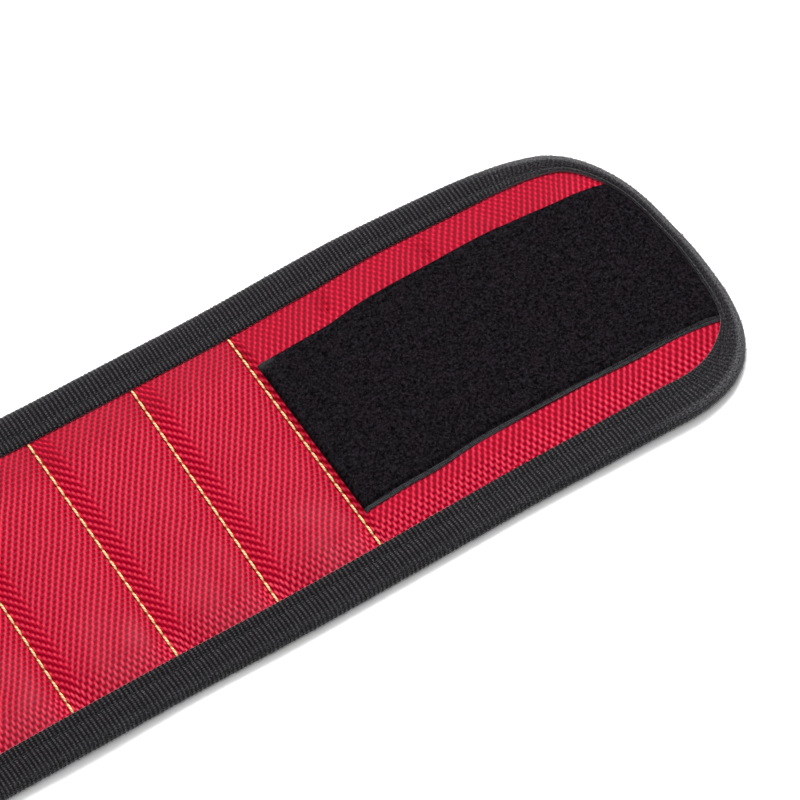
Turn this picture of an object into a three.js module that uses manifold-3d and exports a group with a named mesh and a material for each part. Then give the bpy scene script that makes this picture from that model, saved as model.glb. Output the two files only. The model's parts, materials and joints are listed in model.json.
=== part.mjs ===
// A magnetic wristband, opened out flat with its outer face up and its lining down.
// Five padded pockets hold magnets, and a flap at each end closes the band round a wrist:
// the loop flap at +X has a wide pile patch on top, the hook flap at -X a hook patch below.
// Millimetres, +Z up. +X runs along the band to the loop flap's tip, +Y is its rear edge.
// The origin is under the middle of the band, on the surface that the band lies on.
// Cloth can't be rigid, so every layer is cut at the seven lines where the band folds.

import * as THREE from 'three';
import { mergeVertices } from 'three/addons/utils/BufferGeometryUtils.js';
import Module from 'manifold-3d';

const wasm = await Module();
wasm.setup();

// The band's plan
const bandWidth = 90;
const pocketCount = 5;
const pocketPitch = 29;
const hookFlapLength = 72.5;
const loopBaseLength = 40.5;
const loopTipLength = 72;
const rearCornerRadius = 36;
const frontCornerRadius = 28;

// Clearances, and the slant that lets a fold bend backwards
const clearance = 0.3;
const foldGap = 0.3;
const backBendDegrees = 6;

// The layers, from the lining up
const tapeThickness = 1.0;
const tapeReach = 10;
const liningThickness = 0.9;
const panelThickness = 0.9;

// The padded forms
const pocketRise = 5.2;
const ridgeOffset = 7.6;
const pocketShoulder = 10;
const seamLand = 0.9;
const flapRise = 1.8;
const flapShoulder = 9;
const flapSeamShoulder = 2.4;

// What is sewn in and on
const magnetDiameter = 15;
const magnetThickness = 2;
const magnetSpacing = 32;
const magnetOffset = 12.2;
const magnetFloor = 0.5;
const foamEdge = 0.3;
const patchWidth = 50;
const patchSetback = 2.9;
const loopPatchThickness = 1.5;
const hookPatchLength = 48;
const stitchLength = 3.5;
const threadWidth = 0.6;
const threadHeight = 0.6;
const threadDip = 0.25;

// Shares of a form's own width, where its surface is sampled
const crossShares = [0, 0.12, 0.32, 0.6, 1];
const steepShares = [0, 0.3, 0.65, 1];
const gentleShares = [0.22, 0.45, 0.65, 0.84, 1];
const flapShares = [0, 0.3, 0.65, 1];
const stitchShares = [0.12, 0.3, 0.7];
const patchShares = [1, 0.84, 0.68, 0.52, 0.36, 0, -0.36, -0.52, -0.68, -0.84, -1];

// Flat faces that stand for a corner of the band, for a round magnet and for half of the tape's fold
const cornerSteps = 8;
const roundSteps = 24;
const foldSteps = 4;

// Heights and places that follow from the sizes above
const halfWidth = bandWidth / 2;
const totalLength = hookFlapLength + pocketCount * pocketPitch + loopBaseLength + loopTipLength;
const liningBottom = tapeThickness;
const liningTop = liningBottom + liningThickness;
const rimTop = liningTop + panelThickness;
const rimHeight = rimTop + tapeThickness;
const foldRadius = rimHeight / 2;
const clothInset = foldRadius + clearance;
const bareInset = tapeReach + clearance;
const bareWidth = bandWidth - 2 * bareInset;
const backBend = Math.tan(THREE.MathUtils.degToRad(backBendDegrees));

// The finishes
const finishes = {
  panel: new THREE.MeshStandardMaterial({ color: 0xc8102e, roughness: 0.75 }),
  lining: new THREE.MeshStandardMaterial({ color: 0x161618, roughness: 0.95 }),
  foam: new THREE.MeshStandardMaterial({ color: 0x3a3a3c, roughness: 1.0 }),
  tape: new THREE.MeshStandardMaterial({ color: 0x26272a, roughness: 0.85 }),
  pile: new THREE.MeshStandardMaterial({ color: 0x0e0d10, roughness: 1.0 }),
  hook: new THREE.MeshStandardMaterial({ color: 0x141416, roughness: 0.7 }),
  thread: new THREE.MeshStandardMaterial({ color: 0xf3dc9a, roughness: 0.6 }),
  magnet: new THREE.MeshStandardMaterial({ color: 0xb9bcc2, roughness: 0.3, metalness: 1.0 }),
};

const band = new THREE.Group();

function addPiece(name, geometry, material) {
  const mesh = new THREE.Mesh(geometry, material);
  mesh.name = name;
  band.add(mesh);
  return mesh;
}

// A quarter wave from 0 to 1, for a surface that leaves its edge steeply and levels out
function swell(share) {
  return Math.sin(THREE.MathUtils.clamp(share, 0, 1) * Math.PI / 2);
}

// The stretches of the band between folds. Each knows its ends, and which end is a rounded tip.
function segmentsAlong() {
  const found = [];
  let left = -totalLength / 2;
  const add = (name, length, kind) => {
    found.push({ name, kind, left, right: left + length, length });
    left += length;
  };
  add('hook_flap', hookFlapLength, 'hook_tip');
  for (let i = 1; i <= pocketCount; i++) {
    add(`pocket_${i}`, pocketPitch, 'pocket');
  }
  add('loop_base', loopBaseLength, 'base');
  add('loop_tip', loopTipLength, 'loop_tip');
  return found;
}

// A tip's frame: x grows from the fold to the tip, whichever way the tip points
function alongTip(segment, distance) {
  return segment.kind === 'hook_tip' ? segment.right - distance : segment.left + distance;
}

function isTip(segment) {
  return segment.kind === 'hook_tip' || segment.kind === 'loop_tip';
}

// Narrows a segment towards its top, so that two neighbours can bend back from each other
function slant(geometry, segment) {
  const place = geometry.getAttribute('position');
  const still = isTip(segment) ? alongTip(segment, segment.length) : (segment.left + segment.right) / 2;
  const moved = isTip(segment) ? segment.length : segment.length / 2;
  for (let i = 0; i < place.count; i++) {
    const shrink = 1 - backBend * place.getZ(i) / moved;
    place.setX(i, still + (place.getX(i) - still) * shrink);
  }
  geometry.computeVertexNormals();
  return geometry;
}

function geometryFrom(points, triangles) {
  const geometry = new THREE.BufferGeometry();
  geometry.setAttribute('position', new THREE.Float32BufferAttribute(points.flat(), 3));
  geometry.setIndex(triangles.flat());
  return geometry;
}

// Turns every triangle over where the outline ran clockwise, so that all faces point out
function facingOut(points, triangles) {
  let volume = 0;
  const corner = [new THREE.Vector3(), new THREE.Vector3(), new THREE.Vector3()];
  for (const triangle of triangles) {
    triangle.forEach((index, k) => corner[k].fromArray(points[index]));
    volume += corner[0].dot(corner[1].clone().cross(corner[2]));
  }
  return volume > 0 ? triangles : triangles.map(([a, b, c]) => [a, c, b]);
}

// A layer over a grid of plan points, with a height above and below each of them
function layerOverGrid(plan, upper, lower) {
  const columns = plan.length;
  const rows = plan[0].length;
  const flat = plan.flat();
  const points = [
    ...flat.map(([x, y]) => [x, y, upper(x, y)]),
    ...flat.map(([x, y]) => [x, y, lower(x, y)]),
  ];
  const top = (i, j) => i * rows + j;
  const bottom = (i, j) => columns * rows + i * rows + j;
  const triangles = [];
  for (let i = 0; i + 1 < columns; i++) {
    for (let j = 0; j + 1 < rows; j++) {
      triangles.push([top(i, j), top(i + 1, j), top(i + 1, j + 1)]);
      triangles.push([top(i, j), top(i + 1, j + 1), top(i, j + 1)]);
      triangles.push([bottom(i, j), bottom(i + 1, j + 1), bottom(i + 1, j)]);
      triangles.push([bottom(i, j), bottom(i, j + 1), bottom(i + 1, j + 1)]);
    }
  }
  const rim = [];
  for (let i = 0; i < columns; i++) rim.push([i, 0]);
  for (let j = 1; j < rows; j++) rim.push([columns - 1, j]);
  for (let i = columns - 2; i >= 0; i--) rim.push([i, rows - 1]);
  for (let j = rows - 2; j > 0; j--) rim.push([0, j]);
  rim.forEach((here, k) => {
    const next = rim[(k + 1) % rim.length];
    triangles.push([top(...here), bottom(...here), bottom(...next)]);
    triangles.push([top(...here), bottom(...next), top(...next)]);
  });
  return geometryFrom(points, facingOut(points, triangles));
}

// Plan points of a tip's outline, drawn in by inset, from the fold round the tip and back to it
function tipOutline(segment, inset, foldEdge) {
  const half = halfWidth - inset;
  const rear = rearCornerRadius - inset;
  const front = frontCornerRadius - inset;
  const end = segment.length - inset;
  const places = [[foldEdge, half]];
  for (let k = 0; k <= cornerSteps; k++) {
    const turn = Math.PI / 2 * (1 - k / cornerSteps);
    places.push([end - rear + rear * Math.cos(turn), half - rear + rear * Math.sin(turn)]);
  }
  for (let k = 0; k <= cornerSteps; k++) {
    const turn = -Math.PI / 2 * k / cornerSteps;
    places.push([end - front + front * Math.cos(turn), front - half + front * Math.sin(turn)]);
  }
  places.push([foldEdge, -half]);
  return places.map(([distance, y]) => [alongTip(segment, distance), y]);
}

// A layer over nested tip outlines, the innermost one filled straight across
function layerOverTip(rings, upper, lower) {
  const count = rings[0].length;
  const flat = rings.flat();
  const points = [
    ...flat.map(([x, y]) => [x, y, upper(x, y)]),
    ...flat.map(([x, y]) => [x, y, lower(x, y)]),
  ];
  const inner = rings.length - 1;
  const triangles = [];
  const both = (a, b, c) => {
    triangles.push([a, b, c]);
    triangles.push([flat.length + a, flat.length + c, flat.length + b]);
  };
  const at = (ring, k) => ring * count + k;
  for (let ring = 0; ring < inner; ring++) {
    for (let k = 0; k + 1 < count; k++) {
      both(at(ring, k), at(ring, k + 1), at(ring + 1, k + 1));
      both(at(ring, k), at(ring + 1, k + 1), at(ring + 1, k));
    }
  }
  for (let k = 0; k < count - 2 - k; k++) {
    both(at(inner, k), at(inner, k + 1), at(inner, count - 2 - k));
    both(at(inner, k), at(inner, count - 2 - k), at(inner, count - 1 - k));
  }
  const rim = [];
  for (let k = 0; k < count; k++) rim.push(at(0, k));
  for (let ring = 1; ring <= inner; ring++) rim.push(at(ring, count - 1));
  for (let ring = inner; ring > 0; ring--) rim.push(at(ring, 0));
  rim.forEach((here, k) => {
    const next = rim[(k + 1) % rim.length];
    triangles.push([here, flat.length + here, flat.length + next]);
    triangles.push([here, flat.length + next, next]);
  });
  return geometryFrom(points, facingOut(points, triangles));
}

// How far a point of a tip lies inside the band's edge
function insetAt(segment, x, y) {
  const distance = segment.kind === 'hook_tip' ? segment.right - x : x - segment.left;
  const radius = y > 0 ? rearCornerRadius : frontCornerRadius;
  const pastEnd = distance - (segment.length - radius);
  const pastSide = Math.abs(y) - (halfWidth - radius);
  if (isTip(segment) && pastEnd > 0 && pastSide > 0) {
    return radius - Math.hypot(pastEnd, pastSide);
  }
  const toSide = halfWidth - Math.abs(y);
  return isTip(segment) ? Math.min(toSide, segment.length - distance) : toSide;
}

// How far the padding lifts the outer panel above the rim: the ridge of a pocket lies near its
// left seam, with a steep side to that seam and a gentle slope to the next one
function pocketRiseAt(segment, x, y) {
  const fromLeft = x - segment.left;
  const steep = (fromLeft - seamLand) / (ridgeOffset - seamLand);
  const gentle = (pocketPitch - seamLand - fromLeft) / (pocketPitch - seamLand - ridgeOffset);
  const across = swell((insetAt(segment, x, y) - bareInset) / pocketShoulder);
  return pocketRise * Math.min(swell(steep), swell(gentle)) * across;
}

// The flaps are flat pads. The end at a pocket seam rises more steeply than the sides.
function flapRiseAt(segment, x, y) {
  const sides = swell((insetAt(segment, x, y) - bareInset) / flapShoulder);
  if (segment.kind === 'loop_tip') return flapRise * sides;
  const toSeam = segment.kind === 'hook_tip' ? segment.right - x : x - segment.left;
  return flapRise * Math.min(sides, swell((toSeam - seamLand) / flapSeamShoulder));
}

function riseAt(segment, x, y) {
  return segment.kind === 'pocket' ? pocketRiseAt(segment, x, y) : flapRiseAt(segment, x, y);
}

// Where a segment's surface is sampled along the band
function columnsOf(segment) {
  const { left, right, kind } = segment;
  const start = left + foldGap / 2;
  const end = right - foldGap / 2;
  if (kind === 'pocket') {
    const steep = steepShares.map((share) => left + seamLand + share * (ridgeOffset - seamLand));
    const fall = pocketPitch - seamLand - ridgeOffset;
    const gentle = gentleShares.map((share) => left + ridgeOffset + share * fall);
    return [start, ...steep, ...gentle, end];
  }
  const rise = flapShares.map((share) => left + seamLand + share * flapSeamShoulder);
  return [start, ...rise, end];
}

// Where it is sampled across the band, as insets from the edge
function insetsOf(segment) {
  const shoulder = segment.kind === 'pocket' ? pocketShoulder : flapShoulder;
  const shares = segment.kind === 'pocket' ? crossShares : flapShares;
  return shares.map((share) => bareInset + share * shoulder);
}

function gridOver(columns, insets) {
  const rear = insets.map((inset) => halfWidth - inset);
  const rows = [...rear, ...rear.map((y) => -y).reverse()];
  return columns.map((x) => rows.map((y) => [x, y]));
}

// Outlines of a tip inside one another
function ringsOver(segment, insets, foldEdge) {
  return insets.map((inset) => tipOutline(segment, inset, foldEdge));
}

function solidFrom(geometry) {
  const bare = geometry.clone();
  bare.deleteAttribute('normal');
  bare.deleteAttribute('uv');
  const merged = mergeVertices(bare);
  return new wasm.Manifold(new wasm.Mesh({
    numProp: 3,
    vertProperties: new Float32Array(merged.getAttribute('position').array),
    triVerts: new Uint32Array(merged.getIndex().array),
  }));
}

function geometryOf(solid) {
  const { vertProperties, triVerts } = solid.getMesh();
  const geometry = new THREE.BufferGeometry();
  geometry.setAttribute('position', new THREE.Float32BufferAttribute(vertProperties, 3));
  geometry.setIndex(Array.from(triVerts));
  return geometry;
}

// The hook flap dips at its seam, so it is a short dipping stretch joined to its flat tip
function layerOfTip(segment, insets, upper, lower, foldEdge) {
  if (segment.kind === 'loop_tip') {
    return layerOverTip(ringsOver(segment, insets, foldEdge), upper, lower);
  }
  const dip = flapShares.map((share) => seamLand + share * flapSeamShoulder);
  const distances = [foldEdge, ...dip.filter((distance) => distance > foldEdge)];
  const columns = distances.map((distance) => alongTip(segment, distance));
  const join = distances[distances.length - 1];
  const near = layerOverGrid(gridOver(columns, insets), upper, lower);
  const far = layerOverTip(ringsOver(segment, insets, join), upper, lower);
  return geometryOf(solidFrom(near).add(solidFrom(far)));
}

// The outer panel of heavy basket-weave cloth: flat under the tape, lifted by the padding
function makeOuterPanel(segment) {
  const upper = (x, y) => rimTop + riseAt(segment, x, y);
  const lower = (x, y) => upper(x, y) - panelThickness;
  const insets = [clothInset, ...insetsOf(segment)];
  const geometry = isTip(segment)
    ? layerOfTip(segment, insets, upper, lower, foldGap / 2)
    : layerOverGrid(gridOver(columnsOf(segment), insets), upper, lower);
  return addPiece(`outer_panel_${segment.name}`, slant(geometry, segment), finishes.panel);
}

// The lining of spacer mesh lies flat, with its edge inside the folded tape
function makeLining(segment) {
  const upper = () => liningTop;
  const lower = () => liningBottom;
  const columns = [segment.left + foldGap / 2, segment.right - foldGap / 2];
  const geometry = isTip(segment)
    ? layerOverTip([tipOutline(segment, clothInset, foldGap / 2)], upper, lower)
    : layerOverGrid(gridOver(columns, [clothInset]), upper, lower);
  return addPiece(`lining_${segment.name}`, slant(geometry, segment), finishes.lining);
}

// Foam fills each bay between lining and panel, and thins out to foamEdge at its edges
function makeFoam(segment) {
  const lower = () => liningTop;
  const upper = (x, y) => {
    const under = liningTop + riseAt(segment, x, y) - clearance;
    return Math.max(under, liningTop + foamEdge);
  };
  const insets = insetsOf(segment).slice(segment.kind === 'pocket' ? 2 : 1);
  let geometry;
  if (segment.kind === 'loop_tip') {
    geometry = layerOfTip(segment, insets, upper, lower, foldGap / 2);
  } else if (segment.kind === 'hook_tip') {
    geometry = layerOfTip(segment, insets, upper, lower, seamLand + flapShares[1] * flapSeamShoulder);
  } else {
    const columns = columnsOf(segment).slice(2);
    const last = segment.kind === 'pocket' ? -2 : undefined;
    geometry = layerOverGrid(gridOver(columns.slice(0, last), insets), upper, lower);
  }
  slant(geometry, segment);
  if (segment.kind === 'pocket') {
    geometry = cutRecesses(geometry, segment);
  }
  return addPiece(`foam_${segment.name}`, geometry, finishes.foam);
}

function magnetPlaces(segment) {
  const x = segment.left + magnetOffset;
  return [{ side: 'rear', x, y: magnetSpacing / 2 }, { side: 'front', x, y: -magnetSpacing / 2 }];
}

function discAt(place, radius, height, bottom) {
  const disc = new THREE.CylinderGeometry(radius, radius, height, roundSteps);
  disc.rotateX(Math.PI / 2);
  disc.translate(place.x, place.y, bottom + height / 2);
  return disc;
}

// Each magnet lies in a recess of the foam that is open towards the outer panel
function cutRecesses(geometry, segment) {
  let foam = solidFrom(geometry);
  for (const place of magnetPlaces(segment)) {
    const radius = magnetDiameter / 2 + clearance;
    foam = foam.subtract(solidFrom(discAt(place, radius, pocketRise, liningTop + magnetFloor)));
  }
  return geometryOf(foam);
}

function makeMagnets(segment) {
  for (const place of magnetPlaces(segment)) {
    const bottom = liningTop + magnetFloor + clearance;
    const disc = discAt(place, magnetDiameter / 2, magnetThickness, bottom);
    addPiece(`magnet_${segment.name}_${place.side}`, disc, finishes.magnet);
  }
}

// The tape's section, as [inset, height]: folded round the cloth edge with an upper and a lower leg
function tapeSection() {
  const section = [[tapeReach, 0]];
  const inner = foldRadius - tapeThickness;
  for (let k = 0; k <= 2 * foldSteps; k++) {
    const turn = Math.PI / 2 + Math.PI * k / (2 * foldSteps);
    section.push([foldRadius + foldRadius * Math.cos(turn), foldRadius - foldRadius * Math.sin(turn)]);
  }
  section.push([tapeReach, rimHeight]);
  section.push([tapeReach, rimHeight - tapeThickness]);
  for (let k = 2 * foldSteps; k >= 0; k -= 2) {
    const turn = Math.PI / 2 + Math.PI * k / (2 * foldSteps);
    section.push([foldRadius + inner * Math.cos(turn), foldRadius - inner * Math.sin(turn)]);
  }
  section.push([tapeReach, tapeThickness]);
  return section.reverse();
}

// Sweeps the tape's section along outlines of the same edge, one for each of its insets
function tapeAlong(outlineAt) {
  const section = tapeSection();
  const lines = section.map(([inset]) => outlineAt(inset));
  const steps = lines[0].length;
  const points = [];
  for (let k = 0; k < steps; k++) {
    section.forEach(([, z], j) => points.push([...lines[j][k], z]));
  }
  const count = section.length;
  const triangles = [];
  for (let k = 0; k + 1 < steps; k++) {
    for (let j = 0; j < count; j++) {
      const next = (j + 1) % count;
      triangles.push([k * count + j, k * count + next, (k + 1) * count + next]);
      triangles.push([k * count + j, (k + 1) * count + next, (k + 1) * count + j]);
    }
  }
  const flat = section.map(([inset, z]) => new THREE.Vector2(inset, z));
  for (const [a, b, c] of THREE.ShapeUtils.triangulateShape(flat, [])) {
    const end = (steps - 1) * count;
    triangles.push([a, c, b]);
    triangles.push([end + a, end + b, end + c]);
  }
  return geometryFrom(points, facingOut(points, triangles));
}

// The woven binding tape is folded over every raw edge, in one piece round each tip
function makeBinding(segment) {
  if (isTip(segment)) {
    const tape = tapeAlong((inset) => tipOutline(segment, inset, foldGap / 2));
    return addPiece(`binding_${segment.name}`, slant(tape, segment), finishes.tape);
  }
  for (const [side, sign] of [['rear', 1], ['front', -1]]) {
    const ends = [segment.left + foldGap / 2, segment.right - foldGap / 2];
    const tape = tapeAlong((inset) => ends.map((x) => [x, sign * (halfWidth - inset)]));
    addPiece(`binding_${side}_${segment.name}`, slant(tape, segment), finishes.tape);
  }
}

// The pile patch lies on the loop flap's panel and dips with it to the tape at the tip
function makeLoopPatch(segment) {
  const lower = (x, y) => rimTop + flapRiseAt(segment, x, y) + clearance;
  const upper = (x, y) => lower(x, y) + loopPatchThickness;
  const rows = patchShares.map((share) => share * patchWidth / 2);
  const atColumn = (x) => rows.map((y) => [x, y]);
  let plan;
  if (segment.kind === 'base') {
    const start = segment.left + patchSetback;
    plan = [start, ...columnsOf(segment).filter((x) => x > start)].map(atColumn);
  } else {
    const insets = [...insetsOf(segment)].reverse();
    const dips = insets.map((inset) => rows.map((y) => [tipReach(segment, inset, y), y]));
    plan = [atColumn(segment.left + foldGap / 2), ...dips];
  }
  const geometry = slant(layerOverGrid(plan, upper, lower), segment);
  const end = segment.kind === 'base' ? 'base' : 'tip';
  return addPiece(`loop_patch_${end}`, geometry, finishes.pile);
}

// The x that a tip's outline reaches at one y, when it is drawn in by inset
function tipReach(segment, inset, y) {
  const radius = (y > 0 ? rearCornerRadius : frontCornerRadius) - inset;
  const past = Math.max(0, Math.abs(y) - (halfWidth - inset - radius));
  const drop = radius - Math.sqrt(Math.max(0, radius * radius - past * past));
  return alongTip(segment, segment.length - inset - drop);
}

// The hook patch lies flush with the tape, under the lining at the other end
function makeHookPatch(segment) {
  const rows = patchShares.map((share) => share * patchWidth / 2);
  const from = segment.length - bareInset - hookPatchLength;
  const plan = [
    rows.map((y) => [alongTip(segment, from), y]),
    rows.map((y) => [tipReach(segment, bareInset, y), y]),
  ];
  const geometry = layerOverGrid(plan, () => liningBottom, () => 0);
  return addPiece('hook_patch', slant(geometry, segment), finishes.hook);
}

// A line of lockstitch sinks into the panel between two pockets: each stitch is a raised crest
function makePocketSeam(segment, number) {
  const half = bareWidth / 2;
  const stitches = Math.floor(2 * half / stitchLength);
  const start = -stitches * stitchLength / 2;
  const outline = [[start, 0]];
  for (let k = 0; k < stitches; k++) {
    const from = start + k * stitchLength;
    outline.push([from + stitchShares[0] * stitchLength, threadDip]);
    outline.push([from + stitchShares[1] * stitchLength, threadHeight]);
    outline.push([from + stitchShares[2] * stitchLength, threadHeight]);
  }
  outline.push([-start, threadDip]);
  outline.push([-start, 0]);
  const shape = new THREE.Shape(outline.map(([y, z]) => new THREE.Vector2(y, z)));
  const line = new THREE.ExtrudeGeometry(shape, { depth: threadWidth, bevelEnabled: false });
  line.applyMatrix4(new THREE.Matrix4().makeBasis(
    new THREE.Vector3(0, 1, 0), new THREE.Vector3(0, 0, 1), new THREE.Vector3(1, 0, 0)));
  const margin = (seamLand - foldGap / 2 - threadWidth) / 2;
  const edge = segment.kind === 'hook_tip' ? segment.right : segment.left;
  line.translate(edge + foldGap / 2 + margin, 0, rimTop);
  return addPiece(`pocket_seam_${number}`, slant(line, segment), finishes.thread);
}

const segments = segmentsAlong();
for (const segment of segments) {
  makeOuterPanel(segment);
  makeLining(segment);
  makeFoam(segment);
  makeBinding(segment);
  if (segment.kind === 'pocket') makeMagnets(segment);
  if (segment.kind === 'base' || segment.kind === 'loop_tip') makeLoopPatch(segment);
  if (segment.kind === 'hook_tip') makeHookPatch(segment);
}
const seamed = segments.filter((segment) => segment.kind === 'pocket' || segment.kind === 'base');
seamed.forEach((segment, index) => makePocketSeam(segment, index + 1));

export default band;
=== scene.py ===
# %% [markdown]
# # A magnetic wristband, opened out flat
# A work wristband holds screws and bits on magnets. It is a strip of padded red basket-weave cloth on a
# black lining, bound all round with black ribbed tape. Pale yellow seams divide its middle into five
# pockets, and a pile patch and a hook patch close it round a wrist.
# We dress the imported CAD frame: every layer is built again as the cloth it is, in millimetres, and most
# pieces lie across one fold, over the two stiff lengths of the band that the fold joins.

# %% Load the frame
import json
import math

import bpy
import numpy as np
from mathutils import Matrix, Vector

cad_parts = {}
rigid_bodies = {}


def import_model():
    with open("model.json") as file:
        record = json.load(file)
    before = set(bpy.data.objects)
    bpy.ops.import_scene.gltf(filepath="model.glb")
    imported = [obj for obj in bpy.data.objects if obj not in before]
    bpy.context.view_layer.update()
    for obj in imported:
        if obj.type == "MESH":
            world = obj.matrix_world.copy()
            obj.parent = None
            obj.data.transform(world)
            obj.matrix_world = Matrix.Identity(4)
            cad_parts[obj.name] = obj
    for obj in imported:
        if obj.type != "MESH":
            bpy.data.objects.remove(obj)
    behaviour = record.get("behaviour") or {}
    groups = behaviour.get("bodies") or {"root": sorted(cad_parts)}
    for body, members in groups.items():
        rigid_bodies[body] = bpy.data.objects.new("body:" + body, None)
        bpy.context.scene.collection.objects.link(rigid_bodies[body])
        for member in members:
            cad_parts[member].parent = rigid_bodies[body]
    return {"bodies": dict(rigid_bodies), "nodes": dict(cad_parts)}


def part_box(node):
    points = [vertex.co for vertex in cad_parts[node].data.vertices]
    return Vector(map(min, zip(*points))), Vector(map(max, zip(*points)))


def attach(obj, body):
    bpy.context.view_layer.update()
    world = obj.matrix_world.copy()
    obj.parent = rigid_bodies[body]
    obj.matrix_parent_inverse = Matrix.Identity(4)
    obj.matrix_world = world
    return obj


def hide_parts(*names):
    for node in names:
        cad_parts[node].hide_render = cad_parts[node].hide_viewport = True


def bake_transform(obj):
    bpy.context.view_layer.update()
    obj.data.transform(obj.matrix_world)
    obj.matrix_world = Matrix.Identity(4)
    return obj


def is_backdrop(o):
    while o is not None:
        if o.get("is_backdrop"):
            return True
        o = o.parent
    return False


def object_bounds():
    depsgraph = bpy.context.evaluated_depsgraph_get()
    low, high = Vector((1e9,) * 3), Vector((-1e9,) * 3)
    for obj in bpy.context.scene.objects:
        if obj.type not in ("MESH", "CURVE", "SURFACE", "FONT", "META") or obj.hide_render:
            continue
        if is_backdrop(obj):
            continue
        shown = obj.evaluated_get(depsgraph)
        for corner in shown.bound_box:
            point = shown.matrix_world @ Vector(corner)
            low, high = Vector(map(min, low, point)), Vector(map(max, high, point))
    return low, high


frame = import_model()
cad_low, cad_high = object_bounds()
print("The CAD box, in metres:", list(cad_low), list(cad_high))

# %% [markdown]
# ## The camera
# The photo looks down on the band at a slant from a long way off, so its lines stay nearly parallel.
# A camera could be placed by eye. This one was fitted instead: the pocket seams, the pile patch and the
# two edges gave its turn, its tilt, its distance and its focal length, all measured from the last seam.

# %% Place the camera
MM = 0.001
LAST_SEAM = Vector((52.5, 0, 0))
turn, tilt = math.radians(32.81), math.radians(57.13)
distance, focal_pixels, picture_pixels, sensor = 1500, 6077.8, 800, 36
side_shift, up_shift = 24.30, 11.83

across = Vector((math.cos(turn), -math.sin(turn), 0))
upward = Vector((math.sin(turn) * math.sin(tilt), math.cos(turn) * math.sin(tilt), math.cos(tilt)))
ahead = upward.cross(across)
eye = LAST_SEAM + across * side_shift + upward * up_shift - ahead * distance

camera = bpy.data.objects.new("camera", bpy.data.cameras.new("camera"))
bpy.context.collection.objects.link(camera)
camera.matrix_world = Matrix.Translation(eye * MM) @ Matrix((across, upward, -ahead)).transposed().to_4x4()
camera.data.sensor_width = sensor
camera.data.lens = focal_pixels / picture_pixels * sensor
camera.data.clip_end = 10
bpy.context.scene.camera = camera
bpy.context.scene.view_settings.view_transform = "Standard"
print("Lens in mm:", round(camera.data.lens, 1), "and place in mm:", [round(x, 1) for x in eye])

# %% [markdown]
# ## Light and floor
# The object was photographed on white under a large soft lamp above and behind it, which leaves one soft
# grey shadow close under the near edge. The photo is exposed so that the white table burns out, and only
# the darkest part of the shadow is left on it. So the camera sees this floor a good deal lighter than
# white, with its shadow kept. The cloth gets no diffuse light from it, only the world's and the lamps',
# which stay at a plain level. Farther out the floor turns into the same white as the world.
# When the folds bend, the band hangs lower than it lay. So a few geometry nodes put a box round each stiff
# length and keep the floor under the lowest corner.

# %% Make the world
world = bpy.data.worlds.new("studio")
bpy.context.scene.world = world
world.use_nodes = True
sky = world.node_tree.nodes["Background"]
sky.inputs["Color"].default_value = (1, 1, 1, 1)
path = world.node_tree.nodes.new("ShaderNodeLightPath")
ambient, strongest = 0.38, None
for ray in ("Is Camera Ray", "Is Glossy Ray", "Is Transmission Ray"):
    larger = world.node_tree.nodes.new("ShaderNodeMath")
    larger.operation = "MAXIMUM"
    larger.inputs[1].default_value = ambient
    world.node_tree.links.new(path.outputs[ray], larger.inputs[0])
    if strongest:
        world.node_tree.links.new(strongest, larger.inputs[1])
    strongest = larger.outputs[0]
world.node_tree.links.new(strongest, sky.inputs["Strength"])
print("World strength:", ambient, "on the object and 1 for the camera")


# %% Hang the lamps
LAMP_TARGET = Vector((0.08, 0, 0))


def lamp(name, place, size, power):
    """A square soft lamp, size metres wide, aimed at the loop flap."""
    made = bpy.data.objects.new(name, bpy.data.lights.new(name, "AREA"))
    bpy.context.collection.objects.link(made)
    made.data.shape = "SQUARE"
    made.data.size = size
    made.data.energy = power
    made.location = place
    aim = Vector(place) - LAMP_TARGET
    made.rotation_mode = "QUATERNION"
    made.rotation_quaternion = aim.to_track_quat("Z", "Y")
    return made


key_lamp = lamp("key_lamp", (0.45, 0.6, 1.05), size=0.55, power=15.5)
fill_lamp = lamp("fill_lamp", (-0.55, -0.25, 0.95), size=0.9, power=3)
print("Lamps in watts:", key_lamp.data.energy, fill_lamp.data.energy)


# %% A floor that follows the poses
BODIES = ["hook_flap", "pocket_1", "pocket_2", "pocket_3", "pocket_4", "pocket_5", "loop_base", "loop_tip"]
# Millimetres below the flat band, just clear of the lowest turn of the tape
FLOOR_BELOW = 0.15


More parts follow.
